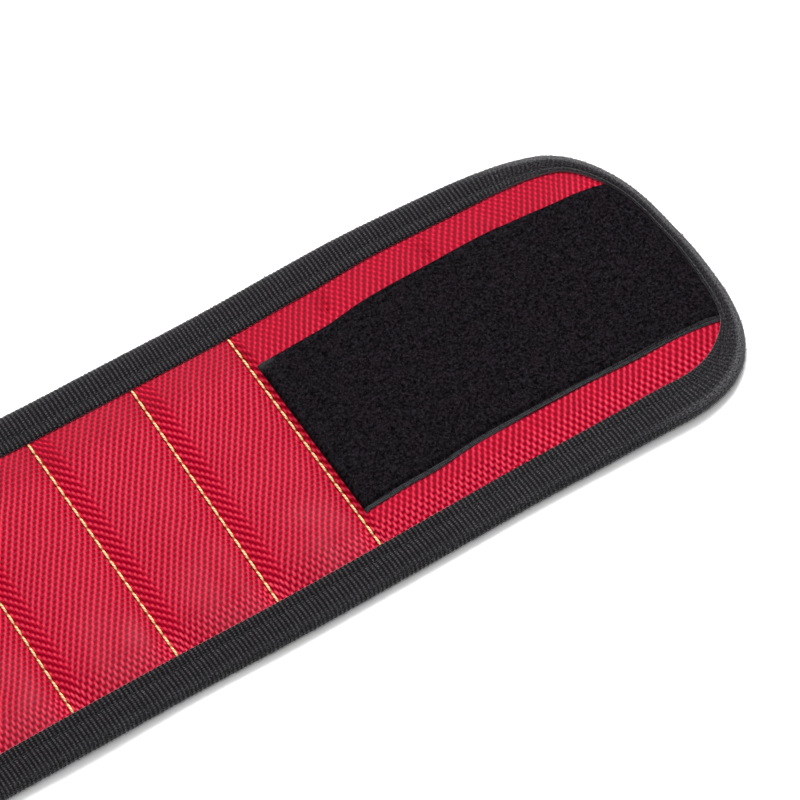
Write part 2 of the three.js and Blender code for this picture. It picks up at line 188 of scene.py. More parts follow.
def floor_nodes():
    """Geometry nodes that lower the floor to the lowest corner of the boxes round the bodies."""
    tree = bpy.data.node_groups.new("floor_under_all", "GeometryNodeTree")
    tree.interface.new_socket("Geometry", in_out="INPUT", socket_type="NodeSocketGeometry")
    tree.interface.new_socket("Geometry", in_out="OUTPUT", socket_type="NodeSocketGeometry")
    add, link = tree.nodes.new, tree.links.new
    start, end = add("NodeGroupInput"), add("NodeGroupOutput")
    together = add("GeometryNodeJoinGeometry")
    for body in BODIES:
        low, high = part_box(f"lining_{body}")
        high.z = cad_high.z
        low.z = -FLOOR_BELOW * MM
        cube, place, info, move = (add(kind) for kind in (
            "GeometryNodeMeshCube", "GeometryNodeTransform", "GeometryNodeObjectInfo", "GeometryNodeTransform"))
        cube.inputs["Size"].default_value = high - low
        place.inputs["Translation"].default_value = (high + low) / 2
        info.inputs["Object"].default_value = frame["bodies"][body]
        link(cube.outputs["Mesh"], place.inputs["Geometry"])
        link(place.outputs["Geometry"], move.inputs["Geometry"])
        link(info.outputs["Location"], move.inputs["Translation"])
        link(info.outputs["Rotation"], move.inputs["Rotation"])
        link(move.outputs["Geometry"], together.inputs["Geometry"])
    lowest = add("GeometryNodeAttributeStatistic")
    lowest.data_type = "FLOAT_VECTOR"
    position, drop = add("GeometryNodeInputPosition"), add("GeometryNodeSetPosition")
    only_z = add("ShaderNodeVectorMath")
    only_z.operation = "MULTIPLY"
    only_z.inputs[1].default_value = (0, 0, 1)
    link(together.outputs["Geometry"], lowest.inputs["Geometry"])
    link(position.outputs["Position"], lowest.inputs["Attribute"])
    link(lowest.outputs["Min"], only_z.inputs[0])
    link(start.outputs[0], drop.inputs["Geometry"])
    link(only_z.outputs[0], drop.inputs["Offset"])
    link(drop.outputs["Geometry"], end.inputs[0])
    return tree


# %% [markdown]
# ## Shader maths as sentences
# A cloth's colour and relief come from a few waves and noises. Wired by hand, such sums are hard to read.
# Here a Wire stands for one output of a node, and adding or multiplying wires adds Math nodes, so that a
# weave is written as an expression. Every other node comes from Finish.node, settings first.

# %% Wires and finishes
class Wire:
    """One output of a node. Arithmetic on it adds Math nodes to the finish it belongs to."""

    def __init__(self, finish, socket):
        self.finish, self.socket = finish, socket

    def maths(self, operation, *others):
        node = self.finish.node("ShaderNodeMath", {"operation": operation}, dict(enumerate((self,) + others)))
        return node.out(0)

    def __add__(self, other): return self.maths("ADD", other)
    def __sub__(self, other): return self.maths("SUBTRACT", other)
    def __mul__(self, other): return self.maths("MULTIPLY", other)
    def __pow__(self, other): return self.maths("POWER", other)
    def __neg__(self): return self.maths("MULTIPLY", -1.0)
    def __rsub__(self, other): return self.maths("MULTIPLY_ADD", -1.0, other)
    __radd__ = __add__

    def wave(self): return self.maths("SINE")
    def size(self): return self.maths("ABSOLUTE")
    def above(self, level): return self.maths("GREATER_THAN", level)

    def ramp(self, low, high):
        """0 at low and 1 at high, smooth in between."""
        node = self.finish.node("ShaderNodeMapRange", {"interpolation_type": "SMOOTHSTEP"},
                                {"Value": self, "From Min": low, "From Max": high})
        return node.out(0)


class Node:
    """A node of a finish, which hands out its outputs as wires."""

    def __init__(self, finish, made):
        self.finish, self.made = finish, made

    def out(self, key):
        return Wire(self.finish, self.made.outputs[key])


class Finish:
    """A material under construction."""

    def __init__(self, name, **shader):
        self.material = bpy.data.materials.new(name)
        self.material.use_nodes = True
        self.tree = self.material.node_tree
        self.tree.nodes.clear()
        self.shader = self.node("ShaderNodeBsdfPrincipled", {}, shader)
        self.surface = self.node("ShaderNodeOutputMaterial", {}, {"Surface": self.shader.out(0)})

    def node(self, kind, settings, inputs):
        made = self.tree.nodes.new(kind)
        for name, value in settings.items():
            if name == "stops":
                ramp = made.color_ramp
                while len(ramp.elements) < len(value):
                    ramp.elements.new(1)
                for element, (place, colour) in zip(ramp.elements, value):
                    element.position, element.color = place, (*colour, 1)
            else:
                setattr(made, name, value)
        for key, value in inputs.items():
            if isinstance(value, Wire):
                self.tree.links.new(value.socket, made.inputs[key])
            else:
                made.inputs[key].default_value = value
        return Node(self, made)

    def feed(self, **wires):
        for name, wire in wires.items():
            self.tree.links.new(wire.socket, self.shader.made.inputs[name.replace("_", " ")])
        return self.material

    def show(self, shader):
        """Another shader in place of the principled one."""
        self.tree.links.new(shader.socket, self.surface.made.inputs["Surface"])
        self.tree.nodes.remove(self.shader.made)
        return self.material

    def cloth_map(self):
        """The place on the flat cloth, in millimetres: along the band, and across it."""
        place = self.node("ShaderNodeUVMap", {"uv_map": "cloth"}, {})
        apart = self.node("ShaderNodeSeparateXYZ", {}, {0: place.out(0)})
        return place.out(0), apart.out(0), apart.out(1)

    def noise(self, place, scale, detail=2.0, stretch=(1, 1, 1)):
        spread = self.node("ShaderNodeVectorMath", {"operation": "MULTIPLY"}, {0: place, 1: stretch})
        inputs = {"Vector": spread.out(0), "Scale": scale, "Detail": detail}
        return self.node("ShaderNodeTexNoise", {}, inputs).out(0)

    def mix(self, share, a, b):
        a, b = ((*c, 1) if isinstance(c, tuple) and len(c) == 3 else c for c in (a, b))
        return self.node("ShaderNodeMix", {"data_type": "RGBA"}, {0: share, 6: a, 7: b}).out(2)

    def relief(self, height, depth_mm):
        """A bump of that depth in millimetres where height goes from 0 to 1."""
        return self.node("ShaderNodeBump", {}, {"Height": height, "Distance": depth_mm * MM}).out(0)


def linear(red, green, blue):
    """A colour read off the photo, 0 to 255, as Blender's linear values."""
    return tuple((v / 255 / 12.92) if v <= 10 else ((v / 255 + 0.055) / 1.055) ** 2.4 for v in (red, green, blue))


# %% [markdown]
# ## The floor
# Its paint uses the sentences above. Camera, glossy and transmission rays meet a diffuse colour of 1.4,
# where 1 is white, with the object's shadow on it. From below it is clear, so that the lining can be looked
# at. Diffuse rays pass through it either way, so that the world can light the lining from below, and that
# is why the floor gives the cloth no diffuse light. The plain 0.8 is left for all other rays.

# %% Lay the floor
def white_floor(burn, full, clear):
    """Camera rays see the diffuse colour burn, which turns into even white from full to clear metres out."""
    finish = Finish("white_floor")
    rays, sides = finish.node("ShaderNodeLightPath", {}, {}), finish.node("ShaderNodeNewGeometry", {}, {})
    away = finish.node("ShaderNodeVectorMath", {"operation": "LENGTH"}, {0: sides.out("Position")}).out("Value")
    plain = finish.node("ShaderNodeBsdfDiffuse", {}, {"Color": (0.8, 0.8, 0.8, 1)}).out(0)
    burnt = finish.node("ShaderNodeBsdfDiffuse", {}, {"Color": (burn, burn, burn, 1)}).out(0)
    blank = finish.node("ShaderNodeEmission", {}, {"Color": (1, 1, 1, 1)}).out(0)
    nothing = finish.node("ShaderNodeBsdfTransparent", {}, {}).out(0)
    far = finish.node("ShaderNodeMixShader", {}, {0: away.ramp(full, clear), 1: burnt, 2: blank}).out(0)
    seen = rays.out("Is Camera Ray").maths("MAXIMUM", rays.out("Is Glossy Ray"))
    seen = seen.maths("MAXIMUM", rays.out("Is Transmission Ray"))
    seen_white = finish.node("ShaderNodeMixShader", {}, {0: seen, 1: plain, 2: far}).out(0)
    open_below = sides.out("Backfacing").maths("MAXIMUM", rays.out("Is Diffuse Ray"))
    last = finish.node("ShaderNodeMixShader", {}, {0: open_below, 1: seen_white, 2: nothing}).out(0)
    return finish.show(last)


floor_reach = 3
floor_mesh = bpy.data.meshes.new("floor")
corners = [(-1, -1), (1, -1), (1, 1), (-1, 1)]
floor_mesh.from_pydata([(x * floor_reach, y * floor_reach, 0) for x, y in corners], [], [(0, 1, 2, 3)])
floor = bpy.data.objects.new("floor", floor_mesh)
bpy.context.collection.objects.link(floor)
floor_mesh.materials.append(white_floor(burn=1.4, full=0.26, clear=0.42))
floor.modifiers.new("under_all", "NODES").node_group = floor_nodes()
floor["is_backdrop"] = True
print("The floor is", 2 * floor_reach, "m wide")

# %% [markdown]
# ## The red cloth
# It is a heavy plain weave of flat polyester yarns. Those that run across the band lie closer together
# than those that run along it, and only one set of floats shines. That shine is painted into the colour as
# light dots, with painted shade in the gaps. The dots line up in slanting columns, and on the steep side of
# a pocket, where the light falls differently, the painted pattern turns to slanting rows. An image would
# repeat and wouldn't follow the padding. The weave is worked out from the cloth's own map instead: two waves
# give the squares of a chessboard, and their sum and difference give the rows and the columns.

# %% The red weave
YARN_ALONG, YARN_ACROSS, SKEW = 0.91, 1.32, 0.04
POCKETS, STEEP_SIDE, STEEP_BLUR, RIM_SIDE, RIM_BLUR = 5, 5.9, 1.2, 29.6, 1.8
WEFT_TURN, SHEEN_TURN = 0.47, 3.0
# The colour ramp runs from painted shade in the gaps, through the yarns' own red, to painted highlights on the
# floats.
RED_SHADE_TO_SHINE = [(0.0, (120, 0, 24)), (0.28, (160, 0, 32)), (0.5, (196, 14, 49)), (0.72, (220, 46, 73)),
            (1.0, (239, 80, 102))]
# Colours mixed into the red: a greyish pink painted as sheen, a pale pink towards the rear, and a paler pink
# painted as a highlight.
SHEEN_GREY, REAR_PALE, SHEEN_PINK = (170, 108, 122), (232, 150, 160), (186, 128, 140)


def woven(u, v, along, across):
    """Height of a plain weave, with yarns along and across that many millimetres wide."""
    warp_wave, weft_wave = (u * (math.pi / along)).wave(), (v * (math.pi / across)).wave()
    on_top = (warp_wave * weft_wave).above(0.0)
    long_way, short_way = 0.45, 0.85
    warp = warp_wave.size() ** long_way * weft_wave.size() ** short_way
    weft = warp_wave.size() ** short_way * weft_wave.size() ** long_way
    return on_top * warp + (1.0 - on_top) * weft


def red_weave(first_seam, pocket_cloth):
    """first_seam and pocket_cloth place the steep sides: the first seam's place and a pocket's length."""
    finish = Finish("red_weave", Roughness=0.6)
    place, u, v = finish.cloth_map()
    wander = (finish.noise(place, 0.09) - 0.5) * 0.8
    along, over = u + wander, v - u * SKEW - wander * 0.6
    warp_turn, weft_turn = along * (math.pi / YARN_ALONG), over * (math.pi / YARN_ACROSS)
    columns = (warp_turn - weft_turn + math.pi / 2).wave()
    rows = (weft_turn + warp_turn - math.pi / 2).wave()
    warp_gap = (warp_turn * 2.0 + math.pi / 2).wave()
    weft_gap = (weft_turn * 2.0 + WEFT_TURN).wave()
    height = woven(along, over, YARN_ALONG, YARN_ACROSS)

    strands = finish.noise(place, 6.0, 1.0, (0.5, 1.5, 1.0))
    patchy = finish.noise(place, 0.1, 3.0)
    pocket = (u - first_seam) * (1 / pocket_cloth)
    within = pocket.maths("FRACT")
    inside = pocket.ramp(0.0, 0.01) * (1.0 - pocket.ramp(POCKETS - 0.01, POCKETS))
    low, high = (STEEP_SIDE - STEEP_BLUR) / pocket_cloth, (STEEP_SIDE + STEEP_BLUR) / pocket_cloth
    last_seam = first_seam + POCKETS * pocket_cloth
    flap = u.ramp(last_seam - 0.2, last_seam + 0.2)
    rim = (-v).ramp(RIM_SIDE - RIM_BLUR, RIM_SIDE + RIM_BLUR)
    rear = v.ramp(20, 31)
    steep_side = inside * (1.0 - within.ramp(low, high))
    steep = steep_side.maths("MAXIMUM", rim * 0.5)
    by_seam = flap * (1.0 - u.ramp(last_seam + 2.6, last_seam + 4.2))
    steep = steep.maths("MAXIMUM", flap * patchy.ramp(0.4, 0.62) * 0.35).maths("MAXIMUM", by_seam)

    knotty = rim * (1.0 - u.ramp(last_seam + 35, last_seam + 55)) * 0.07
    # Painted highlights on the shining floats and painted shade in the gaps: columns on the gentle slopes, rows
    # on the steep sides.
    dots = (columns * (0.31 - steep * 0.24) + rows * (0.07 + steep * 0.22)
            + weft_gap * (0.07 - steep_side * 0.105 + knotty) - warp_gap * (0.02 + steep * 0.06 + knotty))
    # Painted light and shade: brighter, more contrasted dots at the front rim, and duller, darker ones towards
    # the rear, here and in the shine below.
    dots = dots * (1.0 + rim * 0.45 - rear * 0.22) + rim * 0.07
    shine = dots + (strands - 0.5) * 0.42 + (patchy - 0.5) * 0.08 + 0.44 + steep * 0.03 - rear * 0.11
    stops = [(at, linear(*yarn)) for at, yarn in RED_SHADE_TO_SHINE]
    colour = finish.node("ShaderNodeValToRGB", {"stops": stops}, {0: shine}).out(0)
    # Painted sheen: a greyish pink on the weft floats of the gentle slopes, which catch the light at a grazing
    # angle.
    weft_sheen = (weft_turn * 2.0 + SHEEN_TURN).wave().ramp(-0.3, 1.0)
    sheen_share = (1.0 - steep) * (1.0 - rim * 0.6) * (inside * weft_sheen * 0.13 + (1.0 - inside) * 0.03)
    colour = finish.mix(sheen_share, colour, linear(*SHEEN_GREY))
    # A trace of pale pink towards the rear edge.
    colour = finish.mix(v.ramp(20, 30) * 0.015, colour, linear(*REAR_PALE))
    # Painted highlight: a paler pink in random patches on the pockets' gentle slopes, strongest towards the front
    # edge.
    front_sheen = within.ramp(0.2, 0.6) * (1.0 - within.ramp(0.8, 1.0)) * inside * patchy.ramp(0.1, 0.9)
    front_sheen = front_sheen * (0.02 + (-v).ramp(8, 27) * 0.1)
    colour = finish.mix(front_sheen, colour, linear(*SHEEN_PINK))
    finish.shader.made.inputs["Specular IOR Level"].default_value = 0.03
    return finish.feed(Base_Color=colour, Normal=finish.relief(height + strands * 0.2, 0.16))


# %% [markdown]
# ## Black cloths and threads
# The tape is grosgrain: ribs run across it, a little more than a millimetre apart, dark grey on their
# crests, with painted shade in black between them. The pile is a felt of fine loops. Threads are twisted
# from three plies, which shows as slanting stripes. The lining is a spacer mesh with a hole every two
# millimetres.

# %% Black finishes
RIB = 1.18


def ribbed_tape(tip_from, tip_to):
    """tip_from and tip_to are the cloth places between which the tape goes round a tip, smoother there, with a
    painted highlight.
    """
    finish = Finish("ribbed_tape", Roughness=0.7)
    place, u, v = finish.cloth_map()
    tip_zone = u.ramp(tip_from - 8, tip_from + 20) * (1.0 - u.ramp(tip_to - 20, tip_to + 30))
    ribs = ((u * (math.pi / RIB)).wave()) ** 2
    beads = ((v * (math.pi / 0.62) + (u * (math.pi / RIB)).wave() * 0.6).wave()) ** 2
    fuzz, patchy = finish.noise(place, 2.4, 4.0), finish.noise(place, 0.16, 3.0)
    grain = finish.noise(place, 1.3, 3.0, (1.3, 1.0, 1.0))
    crest = finish.mix(fuzz.ramp(0.32, 0.72), linear(15, 14, 16), linear(94, 90, 95))
    crest = finish.mix(patchy.ramp(0.35, 0.7) * 0.3, crest, linear(38, 36, 39))
    # Round the tip the ribs' painted contrast fades and the tape is painted lighter: a painted highlight.
    shown = ribs.ramp(0.2, 0.85) * (0.45 + beads * 0.55) * (1.0 - tip_zone * 0.75)
    shown = shown + tip_zone * (grain.ramp(0.3, 0.7) * 0.5 + 0.08) + (grain - 0.5) * 0.6
    # Painted shade: near black between the ribs and their beads.
    colour = finish.mix(shown.ramp(0.0, 1.0), linear(7, 6, 8), crest)
    # Painted highlight: a light grey line along the tape's inner edge round the tip, where it catches the light.
    inner_edge_highlight = (1.0 - v.ramp(0.3, 0.9)) * tip_zone
    colour = finish.mix(inner_edge_highlight * 0.65, colour, linear(112, 111, 114))
    # Painted highlight: the turned outer edge is lighter, most of all round the tip.
    turned_edge_highlight = v.ramp(7.6, 9.4) * (1.0 - v.ramp(11.0, 13.5))
    colour = finish.mix(turned_edge_highlight * (0.1 + tip_zone * 0.7) * fuzz.ramp(0.3, 0.65), colour, linear(118, 117, 120))
    shader = finish.shader.made.inputs
    shader["Sheen Weight"].default_value = 0.6
    shader["Sheen Roughness"].default_value = 0.25
    shader["Specular IOR Level"].default_value = 0.1
    height = (ribs + beads * 0.5) * (1.0 - tip_zone * 0.6) + fuzz * 0.3
    return finish.feed(Base_Color=colour, Normal=finish.relief(height, 0.2))


def pile_felt(corner_u, corner_v):
    """corner_u and corner_v place the patch's rear corner, where the pile turns a lighter grey."""
    finish = Finish("pile_felt", Roughness=0.9)
    place, u, v = finish.cloth_map()
    off_u, off_v = (u - corner_u) * 0.16, (v - corner_v) * 0.28
    rear_corner_grey = 1.0 - (off_u * off_u + off_v * off_v).ramp(0.0, 1.0)
    broad, clumps = finish.noise(place, 0.18, 2.0), finish.noise(place, 0.48, 3.0)
    fine, specks = finish.noise(place, 1.25, 3.0), finish.noise(place, 2.4, 1.0)
    colour = finish.mix(clumps.ramp(0.3, 0.72), linear(15, 13, 15), linear(30, 27, 30))
    colour = finish.mix(broad.ramp(0.4, 0.65) * 0.3, colour, linear(28, 22, 26))
    colour = finish.mix(fine.ramp(0.42, 0.72) * 0.55, colour, linear(46, 42, 49))
    colour = finish.mix((1.0 - fine.ramp(0.32, 0.52)) * 0.55, colour, linear(3, 3, 4))
    colour = finish.mix(specks.ramp(0.6, 0.74) * 0.35, colour, linear(78, 74, 82))
    # A lighter grey mixed in round the patch's rear corner.
    colour = finish.mix(rear_corner_grey * (0.45 + fine * 0.5), colour, linear(62, 63, 64))
    finish.shader.made.inputs["Specular IOR Level"].default_value = 0.0
    return finish.feed(Base_Color=colour, Normal=finish.relief(clumps * 0.5 + fine, 0.35))


def plain_tape(name, crest, gap, pitch):
    """Flat narrow weave, for selvedges and the backs of the closure patches."""
    finish = Finish(name, Roughness=0.65)
    place, u, v = finish.cloth_map()
    height = woven(u, v, pitch, pitch)
    lint = finish.noise(place, 1.2, 3.0)
    colour = finish.mix(height.ramp(0.1, 0.7) * lint.ramp(0.25, 0.6), linear(*gap), linear(*crest))
    finish.shader.made.inputs["Specular IOR Level"].default_value = 0.1
    return finish.feed(Base_Color=colour, Normal=finish.relief(height, 0.12))


def twisted_thread(name, crest, hollow, end, half, roughness):
    """The thread is duller at the ends of each stitch, half a stitch from its middle."""
    finish = Finish(name, Roughness=roughness)
    _, u, v = finish.cloth_map()
    plies = ((u * 3.2 + v * 3.0).wave()).size()
    colour = finish.mix(plies.ramp(0.1, 0.8), linear(*hollow), linear(*crest))
    colour = finish.mix(u.size().ramp(half * 0.55, half * 0.95) * 0.75, colour, linear(*end))
    finish.shader.made.inputs["Specular IOR Level"].default_value = 0.2
    return finish.feed(Base_Color=colour, Normal=finish.relief(plies, 0.07))


def lint():
    finish = Finish("lint", Roughness=0.8)
    shade = finish.noise(finish.cloth_map()[0], 1.5, 1.0)
    return finish.feed(Base_Color=finish.mix(shade.ramp(0.3, 0.7), linear(66, 65, 68), linear(128, 127, 130)))


def spacer_mesh():
    finish = Finish("spacer_mesh", Roughness=0.8)
    place, u, v = finish.cloth_map()
    pitch = 2.1
    one = ((u * (math.pi / pitch)).wave()).size() * ((v * (math.pi / pitch)).wave()).size()
    shifted_u, shifted_v = u + pitch / 2, v + pitch / 2
    two = ((shifted_u * (math.pi / pitch)).wave()).size() * ((shifted_v * (math.pi / pitch)).wave()).size()
    holes = one.maths("MAXIMUM", two).ramp(0.62, 0.86)
    yarns = finish.noise(place, 3.0, 3.0, (1.0, 0.3, 1.0))
    solid = finish.mix(yarns.ramp(0.3, 0.7), linear(40, 40, 43), linear(82, 82, 86))
    colour = finish.mix(holes, solid, linear(12, 12, 13))
    finish.shader.made.inputs["Sheen Weight"].default_value = 0.08
    return finish.feed(Base_Color=colour, Normal=finish.relief((1.0 - holes) + yarns * 0.25, 0.4))


def open_foam():
    finish = Finish("open_foam", Roughness=0.95)
    cells = finish.noise(finish.cloth_map()[0], 1.9, 4.0)
    colour = finish.mix(cells.ramp(0.35, 0.65), linear(44, 44, 46), linear(92, 92, 95))
    return finish.feed(Base_Color=colour, Normal=finish.relief(cells, 0.5))


def nickel_plate():
    finish = Finish("nickel_plate", Metallic=1.0)
    place = finish.node("ShaderNodeTexCoord", {}, {}).out("Object")
    marks = finish.noise(place, 900.0, 4.0)
    colour = finish.mix(marks, linear(168, 170, 174), linear(206, 207, 210))
    return finish.feed(Base_Color=colour, Roughness=0.22 + marks * 0.2, Normal=finish.relief(marks, 0.02))


tape_cloth, mesh_cloth = ribbed_tape(tip_from=129.0, tip_to=232.0), spacer_mesh()
foam_stuff, magnet_metal = open_foam(), nickel_plate()
selvedge_cloth = plain_tape("plain_selvedge", (66, 65, 68), (24, 23, 26), 0.5)
hook_cloth = plain_tape("hook_backing", (70, 70, 73), (26, 26, 28), 0.7)
yellow_thread = twisted_thread("yellow_thread", crest=(252, 232, 172), hollow=(216, 170, 92), end=(186, 126, 50),
                               half=1.7, roughness=0.45)
black_thread = twisted_thread("black_thread", crest=(38, 37, 40), hollow=(10, 10, 11), end=(14, 14, 15),
                              half=1.3, roughness=0.5)
lint_fibre = lint()
print("Finishes:", len(bpy.data.materials) - len(frame["nodes"]), "made")

# %% [markdown]
# ## The band's plan and its padding
# On the real band one panel of cloth is quilted over foam: each pocket rises steeply from its left seam to
# a soft ridge, lies nearly level, and drops to the next seam. Modelling that by pulling points would be
# hard to keep even. Here the plan and the padding are functions of a place on the band, so that every
# layer, seam and stitch asks the same functions where it lies. How steep each stretch of a pocket is was
# read from the slant of the weave there.

# %% Sizes that the part's source has too, in millimetres
HALF_WIDTH, TIP = 45.0, 165.0
REAR_RADIUS, FRONT_RADIUS = 36.0, 28.0
FOLDS = [-92.5, -63.5, -34.5, -5.5, 23.5, 52.5, 93.0]
CUTS = [-TIP, -78.0, -49.0, -20.0, 9.0, 38.0, 72.75, TIP]
SEAMS, LAST, POCKET = FOLDS[:6], FOLDS[5], 29.0
LINING_BOTTOM, LINING_TOP, RIM_TOP, TAPE_TOP = 1.0, 1.9, 2.8, 3.8
TAPE_REACH, BARE_MARGIN, CLOTH_INSET = 10.0, 0.3, 2.2
POCKET_AT = np.array([0.9, 2.4, 4.6, 7.0, 13.0, 17.0, 20.5, 23.5, 26.7, 28.3])
POCKET_RISE = np.array([0.0, 1.0, 2.35, 2.75, 2.95, 2.85, 2.5, 1.95, 1.05, 0.0])
POCKET_SHOULDER, SEAM_LAND = 9.0, 0.9
FLAP_RISE, FLAP_SHOULDER, FLAP_SEAM_SHOULDER = 1.8, 9.0, 2.4
PATCH_START, PATCH_HALF = LAST + 2.9, 25.0


def swell(share):
    return np.sin(np.clip(share, 0, 1) * math.pi / 2)


def smooth(share):
    share = np.clip(share, 0, 1)
    return share * share * (3 - 2 * share)


def through(x, places, values):
    """A smooth curve through the values at those places."""
    slopes = np.gradient(values, places)
    k = np.clip(np.searchsorted(places, x) - 1, 0, len(places) - 2)
    step = places[k + 1] - places[k]
    t = np.clip((x - places[k]) / step, 0, 1)
    return (values[k] * (1 + 2 * t) * (1 - t) ** 2 + slopes[k] * step * t * (1 - t) ** 2
            + values[k + 1] * t * t * (3 - 2 * t) - slopes[k + 1] * step * t * t * (1 - t))


def edge_at(x, inset, rear):
    """How far from the middle line the band's edge lies at x, drawn in by inset."""
    radius = (REAR_RADIUS if rear else FRONT_RADIUS) - inset
    past = np.clip(np.abs(x) - (TIP - inset - radius), 0, radius)
    return HALF_WIDTH - inset - radius + np.sqrt(radius ** 2 - past ** 2)


def inset_at(x, y):
    """How far a place lies inside the band's edge."""
    radius = np.where(y > 0, REAR_RADIUS, FRONT_RADIUS)
    past_end = np.abs(x) - (TIP - radius)
    past_side = np.abs(y) - (HALF_WIDTH - radius)
    straight = np.minimum(HALF_WIDTH - np.abs(y), TIP - np.abs(x))
    corner = radius - np.hypot(np.maximum(past_end, 0), np.maximum(past_side, 0))
    return np.where((past_end > 0) & (past_side > 0), corner, straight)


REACH_AT = np.array([80, 95, 129, 139, 149, 159, 166, 212, 221, 230, 242, 254, 270, 300])
REACHES = np.array([10, 9.3, 8.5, 7.6, 6.0, 4.4, 4.0, 4.3, 4.8, 6.9, 9.1, 10.6, 10.3, 10])


def round_the_tip(x, y):
    """Length along the loop flap's edge from the rear side, round the tip, to the front side."""
    rear_arc, front_arc = REAR_RADIUS * math.pi / 2, FRONT_RADIUS * math.pi / 2
    rear_turn = np.arctan2(np.maximum(x - TIP + REAR_RADIUS, 0), y - HALF_WIDTH + REAR_RADIUS)
    rear = TIP - REAR_RADIUS + REAR_RADIUS * rear_turn
    end = TIP - REAR_RADIUS + rear_arc + HALF_WIDTH - REAR_RADIUS - y
    corner = TIP - REAR_RADIUS + rear_arc + 2 * HALF_WIDTH - REAR_RADIUS - FRONT_RADIUS
    front_turn = np.arctan2(-y - HALF_WIDTH + FRONT_RADIUS, np.maximum(x - TIP + FRONT_RADIUS, 1e-9))
    front = corner + FRONT_RADIUS * front_turn
    front = np.where(x > TIP - FRONT_RADIUS, front, corner + front_arc + TIP - FRONT_RADIUS - x)
    rear = np.where(x > TIP - REAR_RADIUS, rear, x)
    in_rear = y > np.where(x > TIP - REAR_RADIUS, HALF_WIDTH - REAR_RADIUS, 0)
    in_front = y < np.where(x > TIP - FRONT_RADIUS, FRONT_RADIUS - HALF_WIDTH, 0)
    return np.where(in_rear, rear, np.where(in_front, front, end))


def reach_at(x, y):
    """How far in the tape shows: less round the rear corner and the tip of the loop flap."""
    return np.where(x > REACH_AT[0], through(round_the_tip(x, y), REACH_AT, REACHES), TAPE_REACH)


def rise_at(x, y):
    """How far the padding lifts the red cloth above the rim."""
    inside = inset_at(x, y) - reach_at(x, y) - BARE_MARGIN
    bay = np.searchsorted(SEAMS, x)
    left = np.array([-TIP] + SEAMS)[bay]
    pocket = np.maximum(through(x - left, POCKET_AT, POCKET_RISE), 0) * swell(inside / POCKET_SHOULDER)
    to_seam = np.where(x < 0, SEAMS[0] - x, x - LAST)
    ends = swell((to_seam - SEAM_LAND) / FLAP_SEAM_SHOULDER)
    flap = FLAP_RISE * np.minimum(swell(inside / FLAP_SHOULDER), ends)
    return np.where((bay > 0) & (bay < 6), pocket, flap)


# %% [markdown]
# ## How it lies
# Nothing sewn lies quite flat or straight. Both edges waver by a millimetre, the seams lean a degree or
# so, the tip is rounder than it was cut, and parts of the rim arch off the table. Where the photo shows the
# band, the numbers were read from its outlines, and to the left of that they are guessed. So is the curl
# of the hidden flap's tip, which leaves room for the pile when that flap laps over the patch. These are
# the last moves, made alike on every layer, so that nothing comes apart.

# %% Small liberties of the cloth
PLACES = np.array([-165, -67.5, -34.5, -5.5, 23.5, 52.5, 72.5, 92.5, 112.5, 124, 134, 143, 152, 165])
REAR_LIFT = np.array([0.2, 0.7, 2.1, 0.5, 0.8, 0.1, 0.6, 0.9, 0.7, 0.3, 0.1, 0.2, 0.3, 0.5])
FRONT_LIFT = np.array([0.1, 0, 0.5, 0, 0.1, 0, 0, 0, 0.1, 0.3, 0.4, 0.3, 0.2, 0])
REAR_OUT = np.array([0, 0.7, 1.15, 1.0, 0.6, 0.9, 1.2, 1.3, 0.65, 0.2, -0.45, 0.2, 2.15, 3.2])
FRONT_OUT = np.array([0, 1.4, 1.5, 1.1, 1.5, 1.2, 0.9, 0.6, 0.8, 0.9, 1.1, 1.25, 2.0, 2.75])
LEAN = np.array([0, 4, 22, 9, 26, 6, -1, -2, -8, -3, 2, 4, 4, 4]) / 1000
CREASES = [(-1, 90.4, 0.3, 1.3, 0.45), (-1, 103.4, 0.4, 1.2, 0.5), (-1, 124, 0.3, 1.6, 0.3),
           (1, 78.8, 0.25, 0.6, 1.9), (1, 109, 0.05, 0.6, 1.6), (1, 128, -0.4, 1.4, 0.4)]
BULGE_AT = np.array([-45, -37, -30, -23, -16, -9, -2, 5, 13, 22, 33, 45])
TIP_BULGE = np.array([2.4, 2.0, 1.4, 1.0, 1.3, 1.6, 1.45, 0.8, 0.1, -0.2, -0.1, -0.2])
BULGE_FROM, BULGE_LENGTH, STRIP_MIDDLE = 125, 40, 30
HOOK_TIP_CURL, CURL_FROM, CURL_LENGTH = 1.3, 128, 24


def wrinkle_at(x, y):
    """Shallow waves of the red cloth, and short puckers across the loop flap's two bare strips."""
    inside = smooth((inset_at(x, y) - reach_at(x, y) - BARE_MARGIN) / 3)
    nearest = np.min([np.abs(x - seam) for seam in SEAMS], axis=0)
    free = smooth((nearest - SEAM_LAND) / 3)
    slow = np.sin(x * 0.21 + y * 0.05) * np.sin(y * 0.13 + 1.3) + np.sin(x * 0.11 - y * 0.17 + 0.4)
    creases = 0 * x
    for side, place, slant, wide, tall in CREASES:
        off = (x - place - (np.abs(y) - STRIP_MIDDLE) * slant) / wide
        pucker = 0.6 * np.exp(-((off + 1.8) / 1.6) ** 2) - np.exp(-np.sqrt(off ** 2 + 0.05))
        creases += tall * pucker * smooth((y * side - PATCH_HALF - 0.5) / 2.5)
    return inside * free * (0.07 * slow + creases)


